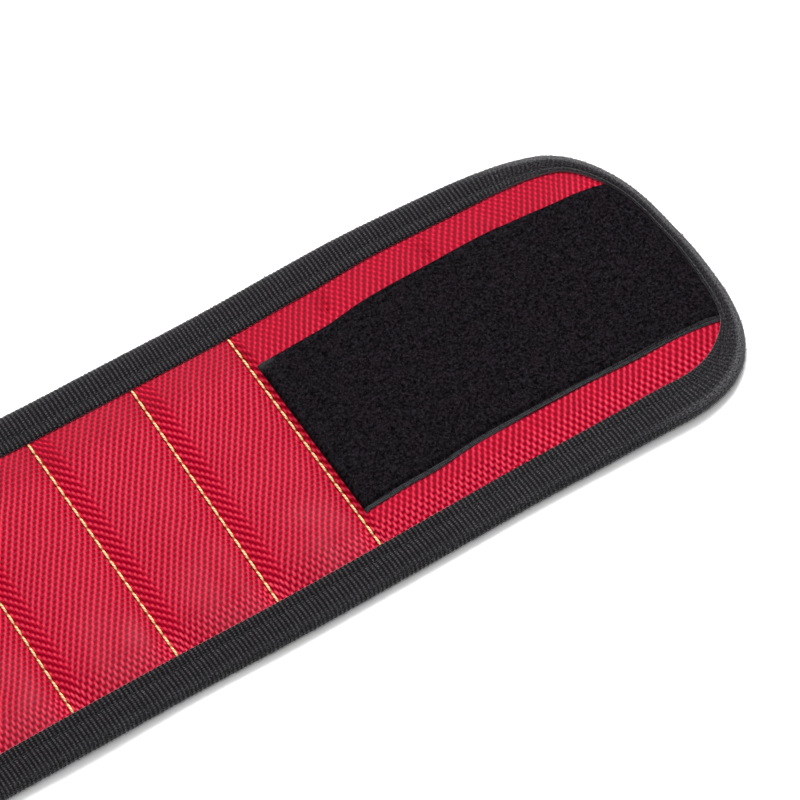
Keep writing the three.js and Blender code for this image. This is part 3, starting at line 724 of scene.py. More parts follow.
def settle(points):
    """Points of the flat band as they lie on the table."""
    x, y, z = points.T
    rear = (y + HALF_WIDTH) / (2 * HALF_WIDTH)
    out = through(x, PLACES, REAR_OUT) * rear - through(x, PLACES, FRONT_OUT) * (1 - rear)
    lift = through(x, PLACES, REAR_LIFT) * rear + through(x, PLACES, FRONT_LIFT) * (1 - rear)
    bulge = through(y, BULGE_AT, TIP_BULGE) * smooth((x - BULGE_FROM) / BULGE_LENGTH)
    lift = lift + HOOK_TIP_CURL * smooth((-x - CURL_FROM) / CURL_LENGTH)
    return np.stack([x + y * through(x, PLACES, LEAN) + bulge, y + out, z + lift], axis=1)


def panel_top(x, y):
    return RIM_TOP + rise_at(x, y) + wrinkle_at(x, y)


line = np.arange(-TIP, TIP, 0.05)
run = np.concatenate([[0], np.cumsum(np.hypot(np.diff(line), np.diff(rise_at(line, 0 * line))))])
breadth = np.arange(-HALF_WIDTH, HALF_WIDTH, 0.05)
height = rise_at(0 * breadth + FOLDS[3] + POCKET / 2, breadth) * 0.5
girth = np.concatenate([[0], np.cumsum(np.hypot(np.diff(breadth), np.diff(height)))])
girth -= np.interp(0, breadth, girth)


def on_cloth(x, y):
    """The flat cloth's own coordinates, which run along its slopes, so that yarns keep their width."""
    return np.stack([np.interp(x, line, run), np.interp(y, breadth, girth)], axis=-1)


seam_cloth = np.interp(SEAMS, line, run)
red_cloth = red_weave(seam_cloth[0], (seam_cloth[-1] - seam_cloth[0]) / POCKETS)
print("The red cloth is", round(run[-1], 1), "mm along its slopes and the band is", 2 * TIP, "mm")

# %% [markdown]
# ## Turning points into pieces
# A cloth could be a plane with modifiers. Here each layer is a slab: one grid of points on top, one
# below, and a rim between them, so that every piece is a closed body that would print. Edges that turn
# sharply stay crisp, and the rest is shaded smooth.

# %% Slabs and loose solids
def make_piece(name, points, faces, cloth, finish, crisp=50):
    """A mesh from points in millimetres, faces, and one place on the cloth for each point."""
    mesh = bpy.data.meshes.new(name)
    sizes = np.array([len(face) for face in faces]) if isinstance(faces, list) else np.full(len(faces), 4)
    corners = np.concatenate([np.asarray(face) for face in faces]) if isinstance(faces, list) else faces.ravel()
    mesh.vertices.add(len(points))
    mesh.vertices.foreach_set("co", (settle(np.asarray(points, float)) * MM).astype(np.float32).ravel())
    mesh.loops.add(len(corners))
    mesh.loops.foreach_set("vertex_index", corners.astype(np.int32))
    mesh.polygons.add(len(sizes))
    mesh.polygons.foreach_set("loop_start", np.concatenate([[0], np.cumsum(sizes)[:-1]]).astype(np.int32))
    mesh.update(calc_edges=True)
    mesh.validate()
    layer = mesh.uv_layers.new(name="cloth")
    layer.uv.foreach_set("vector", np.asarray(cloth, np.float32)[corners].ravel())
    mesh.shade_smooth()
    mesh.set_sharp_from_angle(angle=math.radians(crisp))
    mesh.materials.append(finish)
    made = bpy.data.objects.new(name, mesh)
    bpy.context.collection.objects.link(made)
    return made


def grid_faces(columns, rows, first=0, turned=False, round_rows=False):
    """Quads between the points of a grid that is numbered row by row within each column."""
    reach = rows if round_rows else rows - 1
    i, j = np.meshgrid(np.arange(columns - 1), np.arange(reach), indexing="ij")
    after = (j + 1) % rows
    here, next_column = i * rows, (i + 1) * rows
    quads = np.stack([here + j, next_column + j, next_column + after, here + after], -1).reshape(-1, 4)
    return (quads[:, ::-1] if turned else quads) + first


def slab(name, x, y, top, bottom, finish, crisp=50):
    """A closed slab over a grid of places, with heights above and below."""
    columns, rows = x.shape
    count = columns * rows
    points = np.concatenate([np.stack([x, y, z], -1).reshape(-1, 3) for z in (top, bottom)])
    rim = [i * rows for i in range(columns)] + [(columns - 1) * rows + j for j in range(1, rows)]
    rim += [i * rows + rows - 1 for i in range(columns - 2, -1, -1)] + list(range(rows - 2, 0, -1))
    here, after = np.array(rim), np.roll(rim, -1)
    sides = np.stack([here, here + count, after + count, after], -1)
    faces = np.concatenate([grid_faces(columns, rows), grid_faces(columns, rows, count, True), sides])
    cloth = np.tile(on_cloth(x, y).reshape(-1, 2), (2, 1))
    return make_piece(name, points, faces, cloth, finish, crisp)


def across_fold(piece, fold, nodes=()):
    """The piece's place is baked into its mesh, and those CAD nodes, which it stands for, are hidden."""
    BODIES[fold + 1]
    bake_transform(piece)
    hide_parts(*nodes)


def copies(faces, count, size):
    """The faces of a shape of size points, once for each of its copies in one mesh."""
    return [np.array(face) + k * size for k in range(count) for face in faces]


def new_bodies(fold):
    """The bodies whose nodes the piece over this fold stands for, each of them once."""
    return BODIES[:2] if fold == 0 else [BODIES[fold + 1]]


# %% [markdown]
# ## The red panel
# One length of cloth from tip to tip. It is cut here halfway between the folds, into seven lengths, each
# over its one fold. Under the tape it is pressed flat.

# %% Sew the panel
PANEL_STEP, CORNER_STATIONS = 0.55, 60


def columns_for(start, end, inset, step):
    """Places along the band, closer together where a tip's corners turn."""
    limit = TIP - inset
    low, high = max(start, -limit), min(end, limit)
    straight = TIP - REAR_RADIUS
    first, last = max(low, -straight), min(high, straight)
    parts = np.linspace(first, last, max(2, round((last - first) / step)))
    turns = np.linspace(0, math.pi / 2, round(CORNER_STATIONS / (step / PANEL_STEP)))
    arc = straight + (limit - straight) * np.sin(turns[1:])
    if low < -straight:
        parts = np.concatenate([-arc[::-1], parts])
    if high > straight:
        parts = np.concatenate([parts, arc])
    return parts


def strip(start, end, inset, step):
    """Grid of places on the band between two cuts, drawn in from its edge."""
    x = columns_for(start, end, inset, step)
    rows = round(2 * (HALF_WIDTH - inset) / step)
    share = np.linspace(0, 1, rows)
    rear, front = edge_at(x, inset, True)[:, None], edge_at(x, inset, False)[:, None]
    y = -front + (rear + front) * share[None, :]
    return np.repeat(x[:, None], rows, axis=1), y


STITCH, STITCH_HALF, SEAM_SHIFT = 3.5, 33.25, 0.5


def stitch_dents(x, y):
    """The thread pulls the cloth down along each pocket seam, most at its needle holes."""
    sunk = 0 * x
    for seam in SEAMS:
        off = np.abs(x - seam - SEAM_SHIFT)
        hole = np.cos((y / STITCH) * 2 * math.pi) * 0.5 + 0.5
        inside = np.abs(y) < STITCH_HALF + 1.5
        sunk += inside * (0.22 + 0.2 * hole) * np.exp(-(off / 0.75) ** 2)
        sunk -= inside * 0.16 * (hole - 0.5) * np.exp(-((off - 2.0) / 1.6) ** 2)
    return sunk


panel_step = PANEL_STEP
for fold in range(len(FOLDS)):
    x, y = strip(CUTS[fold], CUTS[fold + 1], CLOTH_INSET, panel_step)
    top = panel_top(x, y) - stitch_dents(x, y)
    piece = slab(f"red_panel_{fold + 1}", x, y, top, np.maximum(top - 0.6, LINING_TOP + 0.02), red_cloth)
    across_fold(piece, fold, [f"outer_panel_{body}" for body in new_bodies(fold)])
    [f"foam_{body}" for body in BODIES[fold:fold + 2]]
    print(piece.name, len(piece.data.polygons), "faces")

# %% [markdown]
# ## The binding tape
# One length of grosgrain is folded over the raw edge, all the way round. It could be an extruded curve,
# but its ribs have to fan out round the corners and its seam has to press it down. So its section is
# swept along the outline, with five stations to each rib, and every rib is real.

# %% Sweep the tape round the edge
TAPE_SEAM, TAPE_STITCH, RIB_DEPTH = 6.9, 3.0, 0.14
RUBBED_FROM, RUBBED_TO, RUBBED_FADE = 121, 251, 28
STATION = RIB / 5
UNDER_TAPE, OVER_LINING = RIM_TOP + 0.06, LINING_BOTTOM - 0.06
# Where the tape shows less, its top is drawn in from this inset on
TURN = 2


def tape_section():
    """The section as inset and height, with 1 where the outer face is ribbed."""
    top = [(10.0, 3.02), (10.06, 3.25), (9.95, 3.46), (9.7, 3.6), (9.2, 3.7), (8.6, 3.73), (8.0, 3.68),
           (7.5, 3.52), (7.15, 3.36), (6.9, 3.3), (6.65, 3.36), (6.3, 3.52), (5.8, 3.7), (5.0, 3.84),
           (4.0, 3.9), (3.0, 3.88)]
    radius = TAPE_TOP / 2
    turns = np.linspace(math.pi * 0.42, -math.pi / 2, 9)
    fold = [(radius - radius * math.cos(t), radius + radius * math.sin(t)) for t in turns]
    bottom = [(3.4, 0.0), (5.6, 0.04), (6.5, 0.22), (6.9, 0.34), (7.3, 0.22), (8.2, 0.04), (9.6, 0.03),
              (10.0, 0.2)]
    inner = radius - LINING_BOTTOM + 0.02
    back = [(10.0, OVER_LINING), (radius, OVER_LINING)]
    back += [(radius - inner * math.cos(t), radius + inner * math.sin(t)) for t in np.linspace(-1.3, 1.3, 7)]
    back += [(radius, UNDER_TAPE), (9.98, UNDER_TAPE)]
    ribbed = [1] * (len(top) + len(fold) + len(bottom)) + [0] * len(back)
    return np.array(top + fold + bottom + back), np.array(ribbed)


def edge_line(fold):
    """Places on the edge, the way inward, and the cloth run along it, for the tape over one fold."""
    if 0 < fold < 6:
        start, end = CUTS[fold], CUTS[fold + 1]
        passing = np.linspace(start, end, round((end - start) / STATION) + 1)
        still = 0 * passing
        return [(np.stack([passing, still + side * HALF_WIDTH], 1), np.stack([still, still - side], 1), passing)
                for side in (1, -1)]
    cut, level = abs(CUTS[1]) if fold == 0 else CUTS[6], 4.0
    sign = -1 if fold == 0 else 1
    places, inward, passed = [], [], []

    def add(x, y, nx, ny, length):
        places.append(np.stack([x, y], 1))
        inward.append(np.stack([nx, ny], 1))
        passed.append(length)

    def straight(x0, y0, x1, y1, nx, ny):
        share = np.linspace(0, 1, 3)
        add(x0 + (x1 - x0) * share, y0 + (y1 - y0) * share, nx + 0 * share, ny + 0 * share,
            math.hypot(x1 - x0, y1 - y0) * share)

    def corner(cx, cy, radius, first, last):
        turns = np.linspace(first, last, 120)
        add(cx + radius * np.cos(turns), cy + radius * np.sin(turns), -np.cos(turns), -np.sin(turns),
            np.abs(turns - first) * (radius - level))

    rear, front = (TIP - REAR_RADIUS, HALF_WIDTH - REAR_RADIUS), (TIP - FRONT_RADIUS, FRONT_RADIUS - HALF_WIDTH)
    straight(cut, HALF_WIDTH, rear[0], HALF_WIDTH, 0, -1)
    corner(*rear, REAR_RADIUS, math.pi / 2, 0)
    straight(TIP, rear[1], TIP, front[1], -1, 0)
    corner(*front, FRONT_RADIUS, 0, -math.pi / 2)
    straight(front[0], -HALF_WIDTH, cut, -HALF_WIDTH, 0, 1)
    starts = np.concatenate([[0], np.cumsum([p[-1] for p in passed])])
    lengths = np.concatenate([p + s for p, s in zip(passed, starts)])
    at = np.linspace(0, lengths[-1], round(lengths[-1] / STATION) + 1)
    line_xy, line_in = np.concatenate(places), np.concatenate(inward)
    lengths = lengths + np.arange(len(lengths)) * 1e-9
    xy = np.stack([np.interp(at, lengths, line_xy[:, k]) for k in (0, 1)], 1)
    way = np.stack([np.interp(at, lengths, line_in[:, k]) for k in (0, 1)], 1)
    round_from, round_to = starts[1], starts[4]
    whole = round((rear[0] + round_to - round_from + front[0]) / RIB) * RIB - front[0]
    cloth = np.interp(at, [0, round_from, round_to, lengths[-1]], [cut, rear[0], whole, whole + front[0] - cut])
    return [(xy * (sign, 1), way * (sign, 1), cloth)]


SECTION, RIBBED = tape_section()


def tape_piece(name, xy, way, cloth):
    """The section swept along one stretch of the edge, with its ribs and its sunk seam."""
    along = np.roll(SECTION, -1, axis=0) - np.roll(SECTION, 1, axis=0)
    out = np.stack([along[:, 1], -along[:, 0]], 1) / np.linalg.norm(along, axis=1)[:, None]
    girth = np.concatenate([[0], np.cumsum(np.linalg.norm(np.diff(SECTION, axis=0), axis=1))])
    reach = reach_at(*xy.T)[:, None] if name.endswith("tip") else np.full((len(xy), 1), TAPE_REACH)
    drawn_in = (SECTION[:, 1] > TAPE_TOP / 2) & (SECTION[:, 0] > TURN)
    narrowed = np.where(drawn_in, (reach - TURN) / (TAPE_REACH - TURN), 1.0)
    tip_zone = smooth((cloth - RUBBED_FROM) / RUBBED_FADE) * smooth((RUBBED_TO - cloth) / RUBBED_FADE) * 0.55
    gap = np.cos(cloth * math.pi / RIB) ** 2 * (1 - tip_zone)
    hole = (np.cos(cloth * 2 * math.pi / TAPE_STITCH) * 0.5 + 0.5) ** 2
    seam = np.exp(-((SECTION[:, 0] - TAPE_SEAM) / 0.55) ** 2) * RIBBED
    push = -RIB_DEPTH * gap[:, None] * RIBBED[None, :] - 0.2 * hole[:, None] * seam[None, :]
    puff = 0.1 * (0.5 - hole)[:, None] * (np.exp(-((SECTION[:, 0] - 4.9) / 1.2) ** 2) * RIBBED)[None, :]
    inset = TURN + (SECTION[None, :, 0] - TURN) * narrowed + (push + puff) * -out[None, :, 0]
    height = SECTION[None, :, 1] + (push + puff) * -out[None, :, 1]
    height = np.clip(height, 0, None)
    place = xy[:, None, :] + way[:, None, :] * inset[:, :, None]
    points = np.concatenate([place, height[:, :, None]], -1).reshape(-1, 3)
    columns, rows = inset.shape
    quads = grid_faces(columns, rows, round_rows=True)
    caps = [np.arange(rows)[::-1], np.arange(rows) + (columns - 1) * rows]
    faces = [*quads, *caps]
    uv = np.stack(np.broadcast_arrays(cloth[:, None], girth[None, :]), -1).reshape(-1, 2)
    return make_piece(name, points, faces, uv, tape_cloth, crisp=70)


# Every length of tape: its fold, its side, whether it goes round a tip, and its line
LENGTHS = [(fold, side, len(edges) == 1, *edge)
           for fold, edges in enumerate(edge_line(fold) for fold in range(len(FOLDS)))
           for side, edge in zip(("rear", "front"), edges)]
TIP_NODES = {0: ["binding_hook_flap", "binding_rear_pocket_1", "binding_front_pocket_1"], 6: ["binding_loop_tip"]}
for fold, side, around, xy, way, cloth in LENGTHS:
    name = f"tape_{fold + 1}_round_the_tip" if around else f"tape_{fold + 1}_{side}"
    piece = tape_piece(name, xy, way, cloth)
    stands = TIP_NODES.get(fold, [f"binding_{side}_{BODIES[fold + 1]}"])
    across_fold(piece, fold, stands)
    tape_length = np.linalg.norm(np.diff(xy, axis=0), axis=1).sum()
    f"red_panel_{fold + 1}"
    f"lining_{fold + 1}"
    print(piece.name, len(piece.data.polygons), "faces")

# %% [markdown]
# ## Thread
# A seam is a row of single stitches, and each stitch is a short twisted thread that comes up through one
# needle hole and goes down through the next. One stitch is modelled as a bent tube with thin ends, and
# a row is that tube set down many times in one mesh.

# %% One stitch and rows of it
def stitch_shape(length, thick, arch, around=8, rings=9):
    """A stitch along x from -length/2 to length/2, and the cloth map of its twist."""
    share = np.linspace(-1, 1, rings)
    turns = np.linspace(0, 2 * math.pi, around, endpoint=False)
    radius = thick / 2 * np.sqrt(np.clip(1 - 0.75 * np.abs(share) ** 4, 0, 1))
    middle = arch * (1 - np.abs(share) ** 2.2) - arch
    x = np.repeat(share[:, None] * length / 2, around, 1)
    y = radius[:, None] * np.cos(turns)[None, :]
    z = middle[:, None] + radius[:, None] * np.sin(turns)[None, :] * 0.85
    twist = np.stack(np.broadcast_arrays(x, turns[None, :] / 2), -1)
    quads = grid_faces(rings, around, round_rows=True)
    ends = [list(range(around))[::-1], [(rings - 1) * around + k for k in range(around)]]
    return np.stack([x, y, z], -1).reshape(-1, 3), [list(q) for q in quads] + ends, twist.reshape(-1, 2)


def row_of(name, shape, places, ways, finish, upside=1):
    """One mesh with the shape set down at each place, its x along the way given there."""
    points, faces, cloth = shape
    ways = ways / np.linalg.norm(ways, axis=1)[:, None]
    side = np.stack([-ways[:, 1], ways[:, 0]], 1)
    flat = points[None, :, 0:1] * ways[:, None, :] + points[None, :, 1:2] * side[:, None, :]
    level = places[:, None, 2:] + upside * points[None, :, 2:]
    all_points = np.concatenate([places[:, None, :2] + flat, level], -1)
    if upside < 0:
        faces = [face[::-1] for face in faces]
    every = copies(faces, len(places), len(points))
    return make_piece(name, all_points.reshape(-1, 3), every, np.tile(cloth, (len(places), 1)), finish, crisp=80)


# %% Pale yellow pocket seams
yellow_stitch = stitch_shape(STITCH - 0.05, thick=0.64, arch=0.34)
count = 20
steps = (np.arange(count) - (count - 1) / 2) * STITCH
for fold, seam in enumerate(SEAMS):
    x = np.full(count, seam + SEAM_SHIFT)
    way = np.tile([0.0, 1.0], (count, 1))
    for level, upside, where in ((RIM_TOP + 0.22, 1, "top"), (LINING_BOTTOM + 0.32, -1, "lining")):
        places = np.stack([x, steps, 0 * x + level], 1)
        piece = row_of(f"seam_{fold + 1}_{where}", yellow_stitch, places, way, yellow_thread, upside)
        across_fold(piece, fold, [f"pocket_seam_{fold + 1}"] if upside > 0 else [])
print("Stitches in each pocket seam:", count)

# %% Black seam of the tape
black_stitch = stitch_shape(TAPE_STITCH - 0.35, 0.4, 0.26, around=6, rings=7)
SEAM_ON_TOP, SEAM_BELOW = 3.48, 0.16
for fold, side, around, xy, way, cloth in LENGTHS:
    low, high = cloth.min(), cloth.max()
    whole = np.arange(math.ceil(low / TAPE_STITCH - 0.5), math.floor(high / TAPE_STITCH - 0.5) + 1)
    at = (whole + 0.5) * TAPE_STITCH
    at = at[(at > low + 0.2) & (at < high - 0.2)]
    order = np.argsort(cloth)
    edge = np.stack([np.interp(at, cloth[order], xy[order, k]) for k in (0, 1)], 1)
    inward = np.stack([np.interp(at, cloth[order], way[order, k]) for k in (0, 1)], 1)
    along = np.stack([-inward[:, 1], inward[:, 0]], 1)
    narrowed = (reach_at(*edge.T) - TURN) / (TAPE_REACH - TURN) if around else np.ones(len(at))
    for level, upside, where in ((SEAM_ON_TOP, 1, "top"), (SEAM_BELOW, -1, "lining")):
        seam_inset = TURN + (TAPE_SEAM - TURN) * (narrowed if upside > 0 else 1)
        spots = edge + inward * (seam_inset * np.ones(len(at)))[:, None]
        places = np.concatenate([spots, np.full((len(spots), 1), level)], 1)
        name = f"tape_seam_{fold + 1}_{where}" + ("" if around else f"_{side}")
        piece = row_of(name, black_stitch, places, along, black_thread, upside)
        across_fold(piece, fold)
print("Tape stitches are", TAPE_STITCH, "mm apart")

# %% [markdown]
# ## Lint on the edge
# Close to, the tape's turned edge isn't a clean line: short ends of fibre stand out all along it, and
# make it look soft. A hair system would do it, but couldn't be kept as a plain mesh, so each fibre is a
# bent three-sided sliver, set down at a random place on the turn.

# %% Brush up the lint
LINT_PER_MM, LINT_THICK = 20, 0.055


def sliver(rings=3):
    """One fibre along z, 1 mm long and 1 mm thick, that leans over as it rises, to be scaled."""
    turns = np.array([0.0, 2.1, 4.2])
    points = np.array([[math.cos(t) * 0.5 + 0.25 * (k / 2) ** 2, math.sin(t) * 0.5, k / 2]
                       for k in range(rings) for t in turns])
    return points, [list(q) for q in grid_faces(rings, 3, round_rows=True)] + [[2, 1, 0], [6, 7, 8]]


def lint_on(name, xy, way, seed):
    """Slivers on the turned edge of one length of tape."""
    rng = np.random.RandomState(seed)
    length = np.concatenate([[0], np.cumsum(np.hypot(*np.diff(xy, axis=0).T))])
    count = int(length[-1] * LINT_PER_MM)
    at, turn = rng.uniform(0.5, length[-1] - 0.5, count), rng.uniform(-0.7, 1.3, count)
    edge = np.stack([np.interp(at, length, xy[:, k]) for k in (0, 1)], 1)
    inward = np.stack([np.interp(at, length, way[:, k]) for k in (0, 1)], 1)
    radius = TAPE_TOP / 2
    roots = np.concatenate([edge + inward * (radius - (radius - 0.05) * np.cos(turn))[:, None],
                            (radius + (radius - 0.05) * np.sin(turn))[:, None]], 1)
    out = np.concatenate([-inward * np.cos(turn)[:, None], np.sin(turn)[:, None]], 1)
    out += rng.uniform(-0.9, 0.9, out.shape)
    out /= np.linalg.norm(out, axis=1)[:, None]
    side = np.cross(out, rng.uniform(-1, 1, out.shape))
    side /= np.linalg.norm(side, axis=1)[:, None]
    third = np.cross(out, side)
    long, thick = rng.uniform(0.2, 0.65, count), LINT_THICK
    points, faces = sliver()
    made = (roots[:, None, :] + side[:, None, :] * points[None, :, 0:1] * thick
            + third[:, None, :] * points[None, :, 1:2] * thick
            + out[:, None, :] * (points[None, :, 2] * long[:, None])[:, :, None])
    every = copies(faces, count, len(points))
    return make_piece(name, made.reshape(-1, 3), every, made.reshape(-1, 3)[:, :2], lint_fibre, crisp=180)


for fold, side, around, xy, way, cloth in LENGTHS:
    name = f"lint_{fold + 1}" + ("" if around else f"_{side}")
    across_fold(lint_on(name, xy, way, seed=fold * 2 + len(side)), fold)
print("Lint brushed up")

# %% [markdown]
# ## The pile patch
# It is a strip of loop tape: a woven back with a bare selvedge along each long edge and a dense felt of
# loops between. Its tip end goes under the binding. A bump alone would leave its edge hard, so the felt
# gets a lumpy surface of its own, and thousands of fine loops stand on it.

# %% Weave the patch
def soft_noise(x, y, size, seed):
    """Smooth random heights from -1 to 1, about size millimetres across, the same at each run."""
    table = np.random.RandomState(seed).uniform(-1, 1, (256, 256))
    u, v = x / size + 100, y / size + 100
    i, j = np.floor(u).astype(int), np.floor(v).astype(int)
    a, b = smooth(u - i), smooth(v - j)

    def pick(p, q):
        return table[p % 256, q % 256]

    return ((pick(i, j) * (1 - a) + pick(i + 1, j) * a) * (1 - b)
            + (pick(i, j + 1) * (1 - a) + pick(i + 1, j + 1) * a) * b)


FRONT_SELVEDGE, REAR_SELVEDGE, PATCH_BACK, PILE = 1.2, 0.25, 0.3, 1.1
PATCH_SEEN = PATCH_START - 0.9
BOW_AT = LAST + np.array([2.0, 14, 24, 33, 44, 55, 66, 75, 83, 91, 100, 113])
REAR_BOW = np.array([-1.7, -1.7, -1.5, -0.5, 0.0, 0.4, 1.0, 1.2, 0.9, -0.4, -2.2, -3.6])
FRONT_BOW = np.array([-1.2, -0.7, -0.7, 0.0, 0.3, 0.5, 0.5, 0.3, 0.1, 0.0, -0.2, -0.2])


def patch_edges(x):
    """The rear and front edges of the patch, which aren't sewn quite straight."""
    return PATCH_HALF + through(x, BOW_AT, REAR_BOW), -PATCH_HALF + through(x, BOW_AT, FRONT_BOW)


def pile_share(x, y):
    """1 where the loops stand full, 0 on the bare selvedges."""
    rear_edge, front_edge = patch_edges(x)
    ragged = soft_noise(x, y, 1.1, 5) * 0.15 + 0.5 * smooth((x - LAST - 60) / 30)
    bare = REAR_SELVEDGE + 0.8 * smooth(1 - (x - PATCH_SEEN) / 30)
    rear, front = (rear_edge - bare - y) / 0.6, (y - front_edge - FRONT_SELVEDGE + ragged) / 0.7
    return smooth(np.minimum(rear, front)) * smooth((x - PATCH_SEEN + 0.15) / 0.6)


def patch_top(x, y):
    under = RIM_TOP + rise_at(x, y) + 0.1
    tucked = smooth((inset_at(x, y) - reach_at(x, y)) / 2.0)
    lumps = soft_noise(x, y, 1.5, 3) * 0.1 + soft_noise(x, y, 0.7, 4) * 0.09
    pile = pile_share(x, y)
    return under + PATCH_BACK + pile * (PILE * (0.35 + 0.65 * tucked) + lumps)


def patch_end(y, tape=None):
    """Where the tape's inner edge crosses the patch, found by halving."""
    low, high = 100.0 + 0 * y, TIP + 0 * y
    for _ in range(24):
        middle = (low + high) / 2
        free = inset_at(middle, y) > (reach_at(middle, y) if tape is None else tape) + 0.12
        low, high = np.where(free, middle, low), np.where(free, high, middle)
    return low


pile_cloth = pile_felt(*on_cloth(np.array([PATCH_SEEN]), np.array([PATCH_HALF - 1.5]))[0])
patch_step = 0.4
across_patch = np.linspace(-PATCH_HALF, PATCH_HALF, round(2 * PATCH_HALF / patch_step) + 1)
rear_end, front_end = patch_edges(np.array(TIP - 12))
end_rows = front_end + (across_patch / PATCH_HALF + 1) / 2 * (rear_end - front_end)
shares = np.linspace(0, 1, round(100 / patch_step) + 1)
x = PATCH_SEEN + shares[:, None] * (patch_end(end_rows)[None, :] - PATCH_SEEN)
rear_edge, front_edge = patch_edges(x)
y = front_edge + (across_patch[None, :] / PATCH_HALF + 1) / 2 * (rear_edge - front_edge)
patch = slab("pile_patch", x, y, patch_top(x, y), RIM_TOP + rise_at(x, y) + 0.1, pile_cloth, crisp=80)
patch.data.materials.append(selvedge_cloth)
rows = len(across_patch) - 1
bare_rows = (across_patch[1:] + across_patch[:-1]) / 2 < -PATCH_HALF + FRONT_SELVEDGE + 0.2
bare = np.zeros(len(patch.data.polygons), np.int32)
bare[:(len(shares) - 1) * rows] = np.tile(bare_rows, len(shares) - 1)
walls = 2 * (len(shares) - 1) * rows
bare[walls:walls + len(shares) - 1] = 1
patch.data.polygons.foreach_set("material_index", bare)
across_fold(patch, 6, ["loop_patch_base", "loop_patch_tip"])
print("The patch has", len(patch.data.polygons), "faces")

# %% Raise its loops
def loop_shape():
    """One loop of pile: a bent three-sided fibre, 1 mm across and 1 mm high, to be scaled."""
    bow = np.array([[-0.5, 0.0], [-0.34, 0.75], [0.1, 1.0], [0.45, 0.5]])
    turns = np.array([0.5, 2.6, 4.7])
    ring = np.stack([np.cos(turns), np.sin(turns)], 1) * 0.06
    points = np.array([[bx + a, b, bz + a * 0.5] for bx, bz in bow for a, b in ring])
    quads = [list(q) for q in grid_faces(4, 3, round_rows=True)]
    return points, quads + [[2, 1, 0], [9, 10, 11]]


def fibres(name, places, turns, widths, heights, thick, finish, shape, upside=1):
    """One mesh with the shape set down at each place, turned and scaled."""
    points, faces = shape
    c, s = np.cos(turns)[:, None], np.sin(turns)[:, None]
    px, pz = points[None, :, 0] * widths[:, None], points[None, :, 2] * heights[:, None]
    py = points[None, :, 1] * thick
    made = np.stack([places[:, None, 0] + px * c - py * s, places[:, None, 1] + px * s + py * c,
                     places[:, None, 2] + upside * pz], -1).reshape(-1, 3)
    if upside < 0:
        faces = [face[::-1] for face in faces]
    every = copies(faces, len(places), len(points))
    return make_piece(name, made, every, on_cloth(made[:, 0], made[:, 1]), finish, crisp=180)


rng = np.random.RandomState(7)
tries = 9500
spots = np.stack([rng.uniform(PATCH_SEEN, TIP - 5.5, tries), rng.uniform(-PATCH_HALF, PATCH_HALF + 1, tries)], 1)
spots = spots[(spots[:, 0] < patch_end(spots[:, 1]) - 0.4) & (pile_share(*spots.T) > 0.35)]
roots = np.concatenate([spots, (patch_top(*spots.T) - 0.12)[:, None]], 1)
sizes = rng.uniform(0.45, 0.95, len(spots))
loops = fibres("pile_loops", roots, rng.uniform(0, 2 * math.pi, len(spots)), sizes,
               rng.uniform(0.25, 0.5, len(spots)), 1.0, pile_cloth, loop_shape())
across_fold(loops, 6)
print("Loops on the patch:", len(spots))

# %% [markdown]
# ## The side against the wrist
# The photo doesn't show the back, so it is made as such bands are: a black spacer mesh, quilted by the
# same seams, and a patch of hook tape under the other flap.

# %% Lay the lining
for fold in range(len(FOLDS)):
    x, y = strip(CUTS[fold], CUTS[fold + 1], CLOTH_INSET, 1.2)
    pulled = sum(np.exp(-((x - seam - SEAM_SHIFT) / 1.3) ** 2) for seam in SEAMS)
    pulled = pulled * (np.abs(y) < HALF_WIDTH - TAPE_REACH)
    bottom = LINING_BOTTOM - 0.02 + 0.4 * pulled
    piece = slab(f"lining_{fold + 1}", x, y, 0 * x + LINING_TOP, bottom, mesh_cloth)
    across_fold(piece, fold, [f"lining_{body}" for body in new_bodies(fold)])
    np.ptp(x) * MM
    [f"foam_core_{body}" for body in BODIES[fold:fold + 2]]
print("Lining laid")

# %% Cut the foam
MAGNET_ALONG, MAGNET_ASIDE, RECESS, RECESS_WALL, RECESS_TOP = 12.2, 16, 8.4, 7.7, 2.4
for number, body in enumerate(BODIES):
    start, end = ([-TIP] + FOLDS)[number], (FOLDS + [TIP])[number]
    start_land, end_land = (SEAM_LAND if number else 0), (SEAM_LAND if number < len(FOLDS) else 0)
    x, y = strip(start + start_land, end - end_land, TAPE_REACH + 0.9, 1.6)
    top = LINING_TOP + 0.08 + np.maximum(rise_at(x, y) + wrinkle_at(x, y) - 0.15, 0.05)
    if body.startswith("pocket"):
        for side in (1, -1):
            away = np.hypot(x - start - MAGNET_ALONG, y - side * MAGNET_ASIDE)
            recess = RECESS_TOP + np.clip(away - RECESS_WALL, 0, 1) * 5
            top = np.where(away < RECESS, np.minimum(top, recess), top)
    piece = slab(f"foam_core_{body}", x, y, top, 0 * x + LINING_TOP + 0.02, foam_stuff)
    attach(piece, body)
    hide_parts(f"foam_{body}")


def disc_shape(radius, low, high, bevel=0.35, sides=72):
    """A disc with broken edges, like a plated magnet."""
    turns = np.linspace(0, 2 * math.pi, sides, endpoint=False)
    rings = [(0.6 * radius, low), (radius - bevel, low), (radius, low + bevel), (radius, high - bevel),
             (radius - bevel, high), (0.6 * radius, high)]
    points = np.concatenate([np.stack([r * np.cos(turns), r * np.sin(turns), 0 * turns + z], 1)
                             for r, z in rings])
    quads = [list(q) for q in grid_faces(len(rings), sides, turned=True, round_rows=True)]
    return points, quads + [list(range(sides))[::-1], [(len(rings) - 1) * sides + k for k in range(sides)]]


